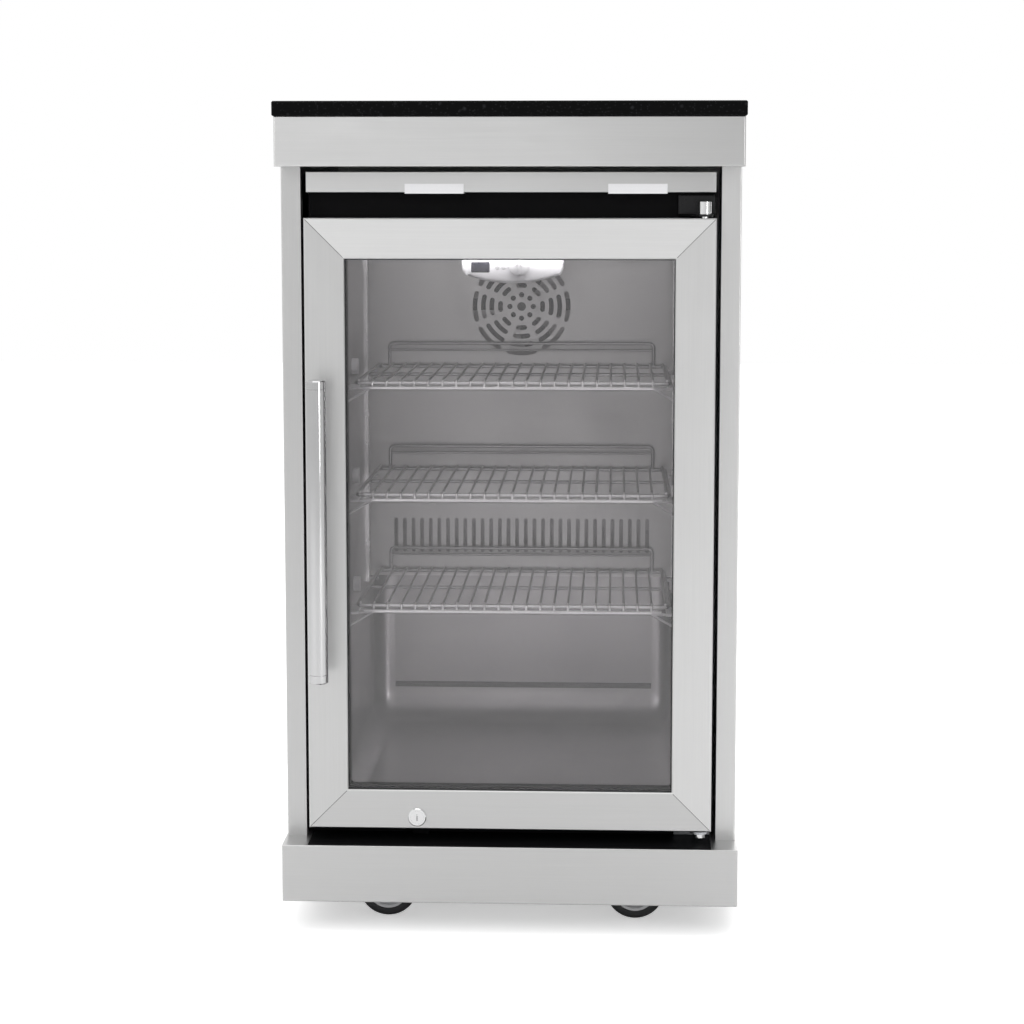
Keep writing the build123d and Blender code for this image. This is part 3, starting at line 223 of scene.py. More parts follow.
def make_speckle_group():
    """Fine specks: crystal flecks in stone, orange peel and texture in paint and plastic."""
    tree, entry, out = shader_group(
        "fine_speckle",
        [("Vector", "NodeSocketVector", None), ("Scale", "NodeSocketFloat", 600.0),
         ("Share", "NodeSocketFloat", 0.2)],
        [("Specks", "NodeSocketFloat"), ("Texture", "NodeSocketFloat")])
    cells = add_node(tree, "ShaderNodeTexVoronoi", [("Vector", entry.outputs["Vector"]),
                                                    ("Scale", entry.outputs["Scale"])])
    pick = add_node(tree, "ShaderNodeSeparateColor", [("Color", cells.outputs["Color"])])
    chosen = calculate(tree, "LESS_THAN", pick.outputs[0], entry.outputs["Share"])
    shape = add_node(tree, "ShaderNodeMapRange", [("Value", cells.outputs["Distance"])],
                     values={"From Min": 0.55, "From Max": 0.1})
    tree.links.new(calculate(tree, "MULTIPLY", chosen, shape.outputs["Result"]), out.inputs["Specks"])
    tree.links.new(noise(tree, entry, "Scale", Detail=2.0), out.inputs["Texture"])


def make_edge_group():
    """Mask of sharp edges, used for rubbed wear on paint and plating and for a painted highlight on stainless
    sheet: 1 on a sharp edge, 0 on the flat.
    """
    tree, entry, out = shader_group(
        "edge_wear_and_highlight", [("Radius", "NodeSocketFloat", 0.002)], [("Edge", "NodeSocketFloat")])
    rounded = add_node(tree, "ShaderNodeBevel", [("Radius", entry.outputs["Radius"])], samples=4)
    flat = add_node(tree, "ShaderNodeNewGeometry")
    meet = add_node(tree, "ShaderNodeVectorMath", [(0, rounded.outputs["Normal"]),
                                                   (1, flat.outputs["Normal"])],
                    operation="DOT_PRODUCT")
    edge = add_node(tree, "ShaderNodeMapRange", [("Value", meet.outputs["Value"])],
                    values={"From Min": 0.995, "From Max": 0.80})
    tree.links.new(edge.outputs["Result"], out.inputs["Edge"])


# ---- Materials -------------------------------------------------------------------
class Recipe:
    """One material being put together."""

    def __init__(self, name):
        self.material = bpy.data.materials.new(name)
        self.material.use_nodes = True
        self.tree = self.material.node_tree
        self.shader = self.tree.nodes["Principled BSDF"]
        self.place = self.node("ShaderNodeTexCoord").outputs["Object"]

    def node(self, kind, links=(), **settings):
        return add_node(self.tree, kind, links, **settings)

    def group(self, name, vector=None, **values):
        """Outputs of a shared node group."""
        node = self.node("ShaderNodeGroup", node_tree=bpy.data.node_groups[name])
        if "Vector" in node.inputs:
            self.tree.links.new(vector or self.place, node.inputs["Vector"])
        for key, value in values.items():
            node.inputs[key].default_value = value
        return node.outputs

    def stretched(self, scale):
        """Object coordinates scaled along each axis, so that a pattern runs along the small one."""
        return self.node("ShaderNodeMapping", [("Vector", self.place)],
                         values={"Scale": scale}).outputs["Vector"]

    def blend(self, mask, first, second):
        """Colour that goes from first to second with a mask."""
        mix = self.node("ShaderNodeMix", data_type="RGBA")
        for index, colour in ((6, first), (7, second)):
            if hasattr(colour, "node"):
                self.tree.links.new(colour, mix.inputs[index])
            else:
                mix.inputs[index].default_value = (*colour, 1.0)
        self.tree.links.new(mask, mix.inputs[0])
        return mix.outputs[2]

    def ranged(self, mask, low, high):
        """A mask spread from one value to another."""
        return self.node("ShaderNodeMapRange", [("Value", mask)],
                         values={"To Min": low, "To Max": high}).outputs["Result"]

    def sum(self, *sockets):
        """Masks added up."""
        total = sockets[0]
        for socket in sockets[1:]:
            total = calculate(self.tree, "ADD", total, socket)
        return total

    def scaled(self, socket, factor):
        """A mask made weaker or stronger."""
        return calculate(self.tree, "MULTIPLY", socket, factor)

    def marked(self, texture, low, high, marks, share):
        """Roughness that follows a texture and rises in the handling marks."""
        return self.sum(self.ranged(texture, low, high), self.scaled(marks["Marks"], share))

    def along(self, axis):
        """Distance along one axis of the frame."""
        return self.node("ShaderNodeSeparateXYZ", [("Vector", self.place)]).outputs[axis]

    def bump(self, height, depth, strength=1.0):
        """Relief of a given depth in metres."""
        node = self.node("ShaderNodeBump", [("Height", height)],
                         values={"Strength": strength, "Distance": depth})
        self.tree.links.new(node.outputs["Normal"], self.shader.inputs["Normal"])

    def feed(self, **sockets):
        """Links named after the shader's inputs, with _ for a space."""
        for key, socket in sockets.items():
            self.tree.links.new(socket, self.shader.inputs[key.replace("_", " ")])
        return self

    def plain(self, **values):
        """Values set on the shader's own sockets, with _ for a space."""
        for key, value in values.items():
            self.shader.inputs[key.replace("_", " ")].default_value = value
        return self


along_x = (0.012, 1.0, 1.0)
along_z = (1.0, 1.0, 0.012)


def toned(colour, factor):
    """A colour made darker or lighter."""
    return [min(1.0, c * factor) for c in colour]


def brushed_steel(name, direction, look, tone=1.0, painted_light_right_tone=None):
    """Stainless sheet, brushed along one axis, with faint handling marks.

    The tone is a painted light and shade, set part by part; the right-hand tone, if it differs from the
    left's, is the tone at the module's right-hand edge, so the painted light and shade also changes across
    the sheet.
    """
    recipe = Recipe(name)
    grain = recipe.group("brushed_grain", recipe.stretched(direction),
                         Fineness=look.grain_across, Patches=4.0)
    marks = recipe.group("handling_marks", Scale=7.0, Cover=0.55)
    edges = recipe.group("edge_wear_and_highlight", Radius=0.0015)
    # Painted light and shade: the tone makes the sheet's colour lighter or darker.
    light = toned(look.sheet_light, tone)
    dark = toned(look.sheet_dark, tone)
    colour = recipe.blend(grain["Lines"], dark, light)
    # Painted light and shade across the width: from the left tone at the middle to the right-hand tone at the
    # right edge.
    if painted_light_right_tone:
        half = corner("worktop")[1].x
        to_right = recipe.node("ShaderNodeMapRange", [("Value", recipe.along("X"))],
                               values={"From Min": 0.0, "From Max": half}).outputs["Result"]
        ratio = painted_light_right_tone / tone
        right_colour = recipe.blend(grain["Lines"], toned(dark, ratio), toned(light, ratio))
        colour = recipe.blend(to_right, colour, right_colour)
    # Painted highlight: sharp edges are blended towards a light grey, as if they caught the light.
    colour = recipe.blend(recipe.scaled(edges["Edge"], 0.5), colour, (0.82, 0.82, 0.82))
    centre = look.sheet_roughness
    roughness = recipe.sum(recipe.ranged(grain["Lines"], centre - 0.08, centre + 0.06),
                           recipe.ranged(grain["Patches"], -0.03, 0.03),
                           recipe.scaled(marks["Marks"], 0.05))
    recipe.feed(Base_Color=colour, Roughness=roughness).plain(Metallic=1.0)
    recipe.bump(grain["Lines"], 0.00004, 0.5)
    return recipe.material


def polished_steel(name, look, tone=1.0):
    """Polished steel with turning lines and faint marks."""
    recipe = Recipe(name)
    # A tone below 1 is a painted shade on the polished colour.
    bright = toned(look.polished, tone)
    grain = recipe.group("brushed_grain", recipe.stretched(along_z), Fineness=900.0, Patches=9.0)
    marks = recipe.group("handling_marks", Scale=22.0, Cover=0.54)
    colour = recipe.blend(grain["Lines"], toned(bright, 0.92), bright)
    roughness = recipe.marked(grain["Lines"], 0.07, 0.14, marks, 0.1)
    recipe.feed(Base_Color=colour, Roughness=roughness).plain(Metallic=1.0)
    recipe.bump(grain["Lines"], 0.00002, 0.4)
    return recipe.material


def plated_steel(name, colour, roughness, spangle):
    """Plated steel with its faint spangle and rubbed edges."""
    recipe = Recipe(name)
    speckle = recipe.group("fine_speckle", Scale=spangle, Share=0.4)
    marks = recipe.group("handling_marks", Scale=30.0, Cover=0.5)
    edges = recipe.group("edge_wear_and_highlight", Radius=0.001)
    tint = recipe.blend(speckle["Texture"], toned(colour, 0.85), colour)
    tint = recipe.blend(recipe.scaled(marks["Marks"], 0.35), tint, toned(colour, 0.7))
    tint = recipe.blend(recipe.scaled(edges["Edge"], 0.4), tint, toned(colour, 1.3))
    rough = recipe.marked(speckle["Texture"], roughness - 0.06, roughness + 0.06, marks, 0.12)
    recipe.feed(Base_Color=tint, Roughness=rough).plain(Metallic=1.0)
    recipe.bump(speckle["Texture"], 0.00003, 0.3)
    return recipe.material


def split_steel(name, axis, split, before, after):
    """Steel in two colours, one before and one after a place along an axis: two finishes on the hinge
    brackets, and on the shelves a painted shade on the deck wire behind the front rails.
    """
    recipe = Recipe(name)
    speckle = recipe.group("fine_speckle", Scale=300.0, Share=0.4)
    marks = recipe.group("handling_marks", Scale=30.0, Cover=0.5)
    past = calculate(recipe.tree, "GREATER_THAN", recipe.along(axis), split)
    first = recipe.blend(speckle["Texture"], toned(before, 0.85), before)
    second = recipe.blend(speckle["Texture"], toned(after, 0.85), after)
    tint = recipe.blend(past, first, second)
    rough = recipe.marked(speckle["Texture"], 0.26, 0.38, marks, 0.12)
    recipe.feed(Base_Color=tint, Roughness=rough).plain(Metallic=1.0)
    recipe.bump(speckle["Texture"], 0.00003, 0.3)
    return recipe.material


def painted(name, colour, roughness, texture=900.0, worn=(0.10, 0.10, 0.10)):
    """Powder-coated sheet: fine orange peel, dust and edges rubbed thin."""
    recipe = Recipe(name)
    speckle = recipe.group("fine_speckle", Scale=texture, Share=0.1)
    marks = recipe.group("handling_marks", Scale=12.0, Cover=0.52)
    edges = recipe.group("edge_wear_and_highlight", Radius=0.001)
    tint = recipe.blend(speckle["Texture"], toned(colour, 0.9), toned(colour, 1.1))
    tint = recipe.blend(recipe.scaled(edges["Edge"], 0.35), tint, worn)
    rough = recipe.marked(speckle["Texture"], roughness - 0.05, roughness + 0.05, marks, 0.12)
    recipe.feed(Base_Color=tint, Roughness=rough).plain(Specular_IOR_Level=0.05)
    recipe.bump(speckle["Texture"], 0.00005, 0.4)
    return recipe.material


def liner_metal(name, colour, roughness, direction=along_x, floor=None):
    """Satin metal of the cavity, with drawing lines and soft patches.

    floor is the height of the cavity's floor; just above it the lining is painted lighter, a painted pool of
    light on the cavity's floor.
    """
    recipe = Recipe(name)
    grain = recipe.group("brushed_grain", recipe.stretched(direction), Fineness=420.0, Patches=6.0)
    marks = recipe.group("handling_marks", Scale=6.0, Cover=0.5)
    tint = recipe.blend(grain["Patches"], toned(colour, 0.88), toned(colour, 1.08))
    # Painted light: the lining's bottom 3 cm is lightened towards the floor.
    if floor is not None:
        low = recipe.node("ShaderNodeMapRange", [("Value", recipe.along("Z"))],
                          values={"From Min": floor + 0.03, "From Max": floor + 0.004}).outputs["Result"]
        tint = recipe.blend(low, tint, toned(colour, 1.6))
    rough = recipe.marked(grain["Lines"], roughness - 0.05, roughness + 0.05, marks, 0.08)
    recipe.feed(Base_Color=tint, Roughness=rough).plain(Metallic=0.85)
    recipe.bump(grain["Lines"], 0.00003, 0.3)
    return recipe.material


def moulded(name, colour, roughness, texture=1200.0):
    """Moulded plastic or rubber with its fine texture and handling marks in its roughness."""
    recipe = Recipe(name)
    speckle = recipe.group("fine_speckle", Scale=texture, Share=0.15)
    marks = recipe.group("handling_marks", Scale=25.0, Cover=0.55)
    tint = recipe.blend(speckle["Texture"], toned(colour, 0.93), toned(colour, 1.05))
    rough = recipe.marked(speckle["Texture"], roughness - 0.04, roughness + 0.06, marks, 0.1)
    recipe.feed(Base_Color=tint, Roughness=rough)
    recipe.bump(speckle["Texture"], 0.00004, 0.35)
    return recipe.material


def pane_glass(name, tint):
    """Clear float glass with the faintest film of handling on it."""
    recipe = Recipe(name)
    marks = recipe.group("handling_marks", Scale=5.0, Cover=0.6)
    rough = recipe.ranged(marks["Marks"], 0.0, 0.015)
    colour = recipe.blend(marks["Marks"], tint, toned(tint, 0.99))
    recipe.feed(Base_Color=colour, Roughness=rough)
    recipe.plain(Metallic=0.0, Transmission_Weight=1.0, IOR=1.45)
    return recipe.material


def polished_stone(name, look):
    """Black stone, polished: dark ground with small mineral flecks under a clear gloss."""
    recipe = Recipe(name)
    fine = recipe.group("fine_speckle", Scale=520.0, Share=0.16)
    coarse = recipe.group("fine_speckle", Scale=170.0, Share=0.07)
    marks = recipe.group("handling_marks", Scale=6.0, Cover=0.55)
    colour = recipe.blend(fine["Specks"], look.ground, look.fleck)
    colour = recipe.blend(recipe.scaled(coarse["Specks"], 0.6), colour, toned(look.fleck, 1.5))
    rough = recipe.marked(fine["Texture"], 0.07, 0.12, marks, 0.06)
    recipe.feed(Base_Color=colour, Roughness=rough).plain(Specular_IOR_Level=0.06)
    recipe.bump(fine["Texture"], 0.00001, 0.2)
    return recipe.material


def foam(name):
    """Rigid foam with its fine cells."""
    recipe = Recipe(name)
    speckle = recipe.group("fine_speckle", Scale=500.0, Share=0.5)
    tint = recipe.blend(speckle["Specks"], (0.72, 0.62, 0.38), (0.84, 0.76, 0.52))
    recipe.feed(Base_Color=tint, Roughness=recipe.ranged(speckle["Texture"], 0.8, 0.95))
    recipe.bump(speckle["Specks"], 0.0002, 0.5)
    return recipe.material


def build_materials():
    """Every node group and material, once."""
    scene = bpy.context.scene
    steel, cooler, stone = scene.module_steel, scene.module_cooler, scene.module_stone
    for make_group in (make_grain_group, make_marks_group, make_speckle_group, make_edge_group):
        make_group()
    door_top = corner("door_stile_left")[1].z
    front_rails = corner("shelf_top")[0].y + 0.014
    cavity_floor = corner("fridge_liner")[0].z
    return {
        # Painted light and shade: each part gets the same brushed sheet in a lighter or darker tone, and the
        # fascia, uprights and door sides change tone towards the right.
        "steel_fascia": brushed_steel("steel_brushed_fascia", along_x, steel, 1.09, 0.86),
        "steel_plinth": brushed_steel("steel_brushed_plinth", along_x, steel, 0.93),
        "steel_rail_top": brushed_steel("steel_brushed_rail_top", along_x, steel, 1.24),
        "steel_rail_low": brushed_steel("steel_brushed_rail_low", along_x, steel, 0.93),
        "steel_upright": brushed_steel("steel_brushed_upright", along_z, steel, 0.94, 1.04),
        "steel_door_side": brushed_steel("steel_brushed_door_side", along_z, steel, 0.98, 1.10),
        "bracket": split_steel("bracket_plate", "Z", door_top, steel.plated, [0.035, 0.035, 0.036]),
        # Painted shade: the shelves' wire is darker behind the front rails.
        "shelf": split_steel("shelf_wire_painted_shade", "Y", front_rails, steel.wire, steel.shaded_deck_wire),
        "polished": polished_steel("steel_polished", steel),
        # Painted shade: the handle is the polished steel made darker.
        "handle": polished_steel("steel_polished_handle", steel, 0.78),
        "plated": plated_steel("zinc_plated", steel.plated, 0.36, 260.0),
        "wire": plated_steel("shelf_wire_plated", steel.wire, 0.2, 700.0),
        "liner": liner_metal("liner_satin", cooler.liner, 0.3, floor=cavity_floor),
        "cover": liner_metal("evaporator_cover_satin", cooler.cover, 0.42),
        "coil": plated_steel("coil_aluminium", [0.6, 0.6, 0.61], 0.4, 400.0),
        "spacer": liner_metal("spacer_aluminium", [0.35, 0.35, 0.36], 0.45, along_z),
        "black": painted("black_powder_coat", cooler.black, 0.5, worn=(0.02, 0.02, 0.02)),
        "black_moulded": moulded("black_moulding", [0.02, 0.02, 0.021], 0.45),
        "white": moulded("white_moulding", cooler.white, 0.3),
        "clips": moulded("shelf_clip_moulding", [0.78, 0.78, 0.79], 0.35),
        "grey": moulded("grey_hub_moulding", [0.62, 0.62, 0.63], 0.4),
        "rubber": moulded("black_rubber", cooler.rubber, 0.62, 700.0),
        "display": moulded("display_dark", [0.03, 0.03, 0.045], 0.12, 2500.0),
        "glass": pane_glass("door_glass", cooler.glass),
        "stone": polished_stone("worktop_stone", stone),
        "foam": foam("foam"),
        "seam": painted("joint_shadow", [0.12, 0.12, 0.12], 0.6),
    }


finishes = {}


def finish(names, material):
    """Gives frame nodes a material."""
    for name in names.split():
        mesh = nodes[name].data
        mesh.materials.clear()
        mesh.materials.append(finishes[material])


# ---- Making pieces ---------------------------------------------------------------
def piece(name, bm, material, body, replaces=(), crease=35.0):
    """Turns a bmesh into a finished piece that rides on a body."""
    bmesh.ops.remove_doubles(bm, verts=bm.verts, dist=1e-6)
    bmesh.ops.recalc_face_normals(bm, faces=bm.faces)
    mesh = bpy.data.meshes.new(name)
    bm.to_mesh(mesh)
    bm.free()
    for face in mesh.polygons:
        face.use_smooth = True
    mesh.set_sharp_from_angle(angle=radians(crease))
    made = bpy.data.objects.new(name, mesh)
    bpy.context.scene.collection.objects.link(made)
    mesh.materials.append(finishes[material])
    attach(made, body)
    if replaces:
        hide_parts(*replaces)
    return made


def turned(bm, outline, centre, axis, steps=64, closed=False):
    """Spins an outline of (radius, along) points a full turn about an axis through centre."""
    axis = Vector(axis)
    side = Vector((1, 0, 0)) if abs(axis.x) < 0.5 else Vector((0, 0, 1))
    verts = [bm.verts.new(Vector(centre) + side * radius + axis * along) for radius, along in outline]
    pairs = list(zip(verts, verts[1:])) + ([(verts[-1], verts[0])] if closed else [])
    edges = [bm.edges.new(pair) for pair in pairs]
    bmesh.ops.spin(bm, geom=verts + edges, cent=centre, axis=axis, angle=2 * pi, steps=steps,
                   use_merge=True, use_duplicate=False)


def rounded(bm, edges, radius, segments):
    """Rounds some edges."""
    bmesh.ops.bevel(bm, geom=list(edges), offset=radius, segments=segments, affect="EDGES",
                    profile=0.5, material=-1)


def slab(bm, low, high, bevel=0.0, segments=2):
    """A box between two corners with its edges rounded."""
    low, high = Vector(low), Vector(high)
    size = high - low
    matrix = Matrix.Translation((low + high) / 2) @ Matrix.Diagonal((*size, 1))
    made = bmesh.ops.create_cube(bm, size=1, matrix=matrix)["verts"]
    if bevel:
        rounded(bm, {edge for vert in made for edge in vert.link_edges}, bevel, segments)


def tube_bend(bm, centre, axis, side, radius, tube, angle=pi, steps=16, sides=14):
    """Part of a ring of round tube: axis of the bend, direction to its start, bend radius."""
    axis, side = Vector(axis), Vector(side)
    start = Vector(centre) + side * radius
    turn = Matrix((side, axis, side.cross(axis))).transposed().to_4x4()
    circle = bmesh.ops.create_circle(bm, cap_ends=False, segments=sides, radius=tube,
                                     matrix=Matrix.Translation(start) @ turn)["verts"]
    edges = {edge for vert in circle for edge in vert.link_edges}
    bmesh.ops.spin(bm, geom=circle + list(edges), cent=centre, axis=axis, angle=angle, steps=steps)


class ModuleOperator:
    """What every operator of this file shares."""
    bl_options = {"REGISTER", "UNDO"}

    def execute(self, context):
        self.make(context.scene)
        return {"FINISHED"}


class FinishCabinet(ModuleOperator, bpy.types.Operator):
    """Gives the cabinet's sheets, worktop and case their materials"""
    bl_idname = "module.finish_cabinet"
    bl_label = "Finish the cabinet"

    def make(self, scene):
        finish("worktop", "stone")
        finish("top_tray top_trim", "steel_fascia")
        finish("base_tray", "steel_plinth")
        finish("side_panel_left side_panel_right back_panel", "steel_upright")
        finish("fridge_case fridge_base_pan compressor lock_keeper", "black")
        finish("trim_clips", "white")
        finish("cable_gland fridge_feet", "rubber")
        finish("castor_plates", "plated")
        finish("hinge_brackets hinge_screws", "bracket")
        finish("castor_bolts hinge_pins", "polished")
        finish("fridge_insulation", "foam")


class FinishDoor(ModuleOperator, bpy.types.Operator):
    """Gives the door's frame, glass and lock their materials"""
    bl_idname = "module.finish_door"
    bl_label = "Finish the door"

    def make(self, scene):
        finish("door_rail_top", "steel_rail_top")
        finish("door_rail_bottom", "steel_rail_low")
        finish("door_stile_left door_stile_right", "steel_door_side")
        finish("glass_panes", "glass")
        finish("glass_spacer", "spacer")
        finish("glazing_bead hinge_bushes", "black_moulded")
        finish("lock_housing lock_barrel", "polished")


class FinishInside(ModuleOperator, bpy.types.Operator):
    """Gives the cavity, the shelves and the machinery their materials"""
    bl_idname = "module.finish_inside"
    bl_label = "Finish the inside"

    def make(self, scene):
        finish("fridge_liner", "liner")
        finish("evaporator_cover", "cover")
        finish("shelf_strips", "wire")
        finish("shelf_bottom shelf_middle shelf_top", "shelf")
        finish("shelf_clips", "clips")
        finish("evaporator_coil condenser_coil", "coil")
        finish("fan_motors condenser_shroud", "black_moulded")


class AddCavitySeam(ModuleOperator, bpy.types.Operator):
    """Dark sealed joint across the cavity's rear wall, above the cove of its floor"""
    bl_idname = "module.add_cavity_seam"
    bl_label = "Add the cavity's seam"

    def make(self, scene):
        size = scene.module_details
        low, high = corner("fridge_liner")
        sheet = 0.0015
        wall = high.y - sheet
        side = high.x - sheet - size.cavity_corner
        base = low.z + sheet + size.cavity_cove
        bm = bmesh.new()
        slab(bm, (-side, wall - 0.0012, base), (side, wall - 0.00005, base + size.seam_height), 0.0004, 2)
        piece("cavity_seam", bm, "rubber", "cabinet", crease=40)


class AddHandle(ModuleOperator, bpy.types.Operator):
    """Bar handle with capped ends and collared posts"""
    bl_idname = "module.add_handle"
    bl_label = "Add the handle"

    def make(self, scene):
        low, high = corner("handle_bar")
        centre = (low + high) / 2
        radius = (high.x - low.x) / 2
        cap = scene.module_details.handle_cap
        rim = 0.0012
        groove = 0.0004
        start = Vector((centre.x, centre.y, low.z))
        length = high.z - low.z

        def end(sign, base):
            points = [(0.0, 0.0), (radius - 3 * rim, 0.0), (radius - rim, rim * 0.35), (radius, rim * 1.4),
                      (radius, cap - groove), (radius - groove, cap), (radius, cap + groove)]
            return [(r, base + sign * along) for r, along in points]

        outline = end(1, 0.0) + list(reversed(end(-1, length)))
        bm = bmesh.new()
        turned(bm, outline, start, (0, 0, 1), steps=72)
        piece("handle_tube", bm, "handle", "door", ("handle_bar",), crease=28)

        post_low, post_high = corner("handle_posts")
        post_radius = (post_high.x - post_low.x) / 2
        bm = bmesh.new()
        reach = post_high.y - centre.y
        for z in (post_low.z + post_radius, post_high.z - post_radius):
            base = Vector((centre.x, post_high.y, z))
            turned(bm, [(0.0, 0.0), (post_radius, 0.0), (post_radius, -0.0035),
                        (post_radius - 0.001, -0.0045), (post_radius - 0.0012, -reach + 0.004),
                        (0.0, -reach + 0.004)],
                   base, (0, 1, 0), steps=40)
        piece("handle_post_pair", bm, "polished", "door", ("handle_posts",))


class AddGasket(ModuleOperator, bpy.types.Operator):
    """Door gasket with its bellows and magnet sleeve"""
    bl_idname = "module.add_gasket"
    bl_label = "Add the gasket"

    def make(self, scene):
        low, high = corner("door_gasket")
        centre = (low + high) / 2
        outer = Vector((high.x, low.y, high.z))
        width = 0.014
        depth = high.y - low.y
        section = [(0.1, 0.0), (0.9, 0.0), (1.0, 0.1), (0.86, 0.26), (1.0, 0.42), (0.86, 0.58),
                   (1.0, 0.7), (1.0, 0.93), (0.9, 1.0), (0.1, 1.0), (0.0, 0.93), (0.0, 0.7),
                   (0.14, 0.58), (0.0, 0.42), (0.14, 0.26), (0.0, 0.1)]
        bm = bmesh.new()
        verts = [bm.verts.new((outer.x - u * width, outer.y + v * depth, outer.z - u * width))
                 for u, v in section]
        edges = [bm.edges.new(pair) for pair in zip(verts, verts[1:] + verts[:1])]
        flip_x = Matrix.Translation((2 * centre.x, 0, 0)) @ Matrix.Scale(-1, 4, (1, 0, 0))
        flip_z = Matrix.Translation((0, 0, 2 * centre.z)) @ Matrix.Scale(-1, 4, (0, 0, 1))
        for flip in (flip_x, flip_z, flip_x, flip_z):
            grown = bmesh.ops.extrude_edge_only(bm, edges=edges)["geom"]
            verts = [item for item in grown if isinstance(item, bmesh.types.BMVert)]
            edges = [item for item in grown if isinstance(item, bmesh.types.BMEdge)]
            bmesh.ops.transform(bm, matrix=flip, verts=verts)
        piece("gasket_bellows", bm, "rubber", "door", ("door_gasket",), crease=50)


class AddControl(ModuleOperator, bpy.types.Operator):
    """Control housing with its display and buttons"""
    bl_idname = "module.add_control"
    bl_label = "Add the control"

    def make(self, scene):
        low, high = corner("control_housing")
        half = (high.x - low.x) / 2
        centre = (low.x + high.x) / 2
        bow = 0.012
        corner_radius = 0.012
        rim_radius = 0.004
        radius = (half * half + bow * bow) / (2 * bow)
        sweep = atan2(half, radius - bow)
        bm = bmesh.new()
        steps = 24
        lower = []
        for index in range(steps + 1):
            angle = -sweep + 2 * sweep * index / steps
            lower.append((centre + radius * sin(angle), low.z + radius * (1 - cos(angle))))
        outline = lower + [(high.x, high.z), (low.x, high.z)]
        face = bm.faces.new([bm.verts.new((x, low.y, z)) for x, z in outline])
        back = bmesh.ops.extrude_face_region(bm, geom=[face])["geom"]
        moved = [item for item in back if isinstance(item, bmesh.types.BMVert)]
        bmesh.ops.translate(bm, verts=moved, vec=(0, high.y - low.y, 0))
        corners = [edge for edge in bm.edges
                   if abs((edge.verts[0].co - edge.verts[1].co).normalized().y) > 0.9
                   and edge.verts[0].co.z < high.z - 0.01 and abs(edge.verts[0].co.x - centre) > half - 0.001]
        rounded(bm, corners, corner_radius, 6)
        rim = [edge for edge in bm.edges
               if abs(edge.verts[0].co.y - low.y) < 1e-6 and abs(edge.verts[1].co.y - low.y) < 1e-6]
        rounded(bm, rim, rim_radius, 4)
        piece("control_shell", bm, "white", "cabinet", ("control_housing",), crease=40)

        glass_low, glass_high = corner("display_window")
        bm = bmesh.new()
        slab(bm, (glass_low.x, low.y - 0.0006, glass_low.z), (glass_high.x, glass_high.y, glass_high.z),
             0.0015, 3)
        piece("display_lens", bm, "display", "cabinet", ("display_window",))

        bm = bmesh.new()
        for index in range(3):
            x = glass_high.x + 0.009 + index * 0.008
            turned(bm, [(0.0, -0.0008), (0.0022, -0.0008), (0.0027, -0.0003), (0.0027, 0.002), (0.0, 0.002)],
                   (x, low.y, (glass_low.z + glass_high.z) / 2), (0, 1, 0), steps=20)
        piece("control_buttons", bm, "grey", "cabinet")


class AddKnob(ModuleOperator, bpy.types.Operator):
    """Thermostat knob with its finger ridge"""
    bl_idname = "module.add_knob"
    bl_label = "Add the knob"

    def make(self, scene):
        low, high = corner("thermostat_knob")
        centre = (low + high) / 2
        radius = (high.x - low.x) / 2
        bm = bmesh.new()
        front = low.y + 0.003
        turned(bm, [(0.0, 0.0), (radius - 0.002, 0.0), (radius, 0.0012), (radius, 0.0034), (0.0, 0.0034)],
               (centre.x, front, centre.z), (0, 1, 0), steps=48)
        slab(bm, (centre.x - 0.002, low.y, centre.z - radius + 0.002),
             (centre.x + 0.002, front + 0.001, centre.z + radius - 0.002), 0.0009, 3)
        turned(bm, [(0.0, 0.0), (0.003, 0.0), (0.003, high.y - front), (0.0, high.y - front)],
               (centre.x, front, centre.z), (0, 1, 0), steps=24)
        piece("thermostat_dial", bm, "white", "knob", ("thermostat_knob",))


def fan_blades(bm, centre, radius, hub, depth, count, pitch):
    """Twisted blades round a hub: each starts as a grid and is bent by its radius."""
    spans = 8
    chords = 6
    for index in range(count):
        made = bmesh.ops.create_grid(bm, x_segments=spans, y_segments=chords, size=0.5)["verts"]
        for vert in made:
            reach = vert.co.x + 0.5
            across = vert.co.y
            r = hub * 0.9 + (radius - hub * 0.9) * reach
            chord = 0.5 + 0.32 * sin(pi * reach * 0.8)
            angle = across * chord * (1.0 - 0.25 * reach) * 1.25 + index * 2 * pi / count + 0.12 * reach
            rise = across * depth * (0.92 - 0.4 * reach) * pitch + 0.0012 * cos(across * pi)
            vert.co = Vector((centre[0] + r * cos(angle), centre[1] + rise, centre[2] + r * sin(angle)))
        faces = list({face for vert in made for face in vert.link_faces})
        bmesh.ops.solidify(bm, geom=faces, thickness=0.0014)


class AddFans(ModuleOperator, bpy.types.Operator):
    """Evaporator and condenser fans with twisted blades"""
    bl_idname = "module.add_fans"
    bl_label = "Add the fans"

    def make(self, scene):
        for node, body, radius in (("evaporator_fan", "evaporator_rotor", 0.057),
                                   ("condenser_fan", "condenser_rotor", 0.061)):
            low, high = corner(node)
            joint = next(item for item in frame["joints"] if item["child"] == body)
            x, _, z = joint["pos_m"]
            hub = 0.017
            depth = high.y - low.y - 0.002
            mid = (low.y + high.y) / 2
            bm = bmesh.new()
            half = depth / 2
            turned(bm, [(0.0031, -half), (hub - 0.002, -half), (hub, -half + 0.002), (hub, half),
                        (hub - 0.002, half), (hub - 0.002, -half + 0.003), (0.006, -half + 0.003),
                        (0.006, half - 0.002), (0.0031, half - 0.002)],
                   (x, mid, z), (0, 1, 0), steps=48, closed=True)
            fan_blades(bm, (x, mid, z), radius, hub, depth, 5, 0.9)
            piece(f"{node}_wheel", bm, "black_moulded", body, (node,), crease=40)


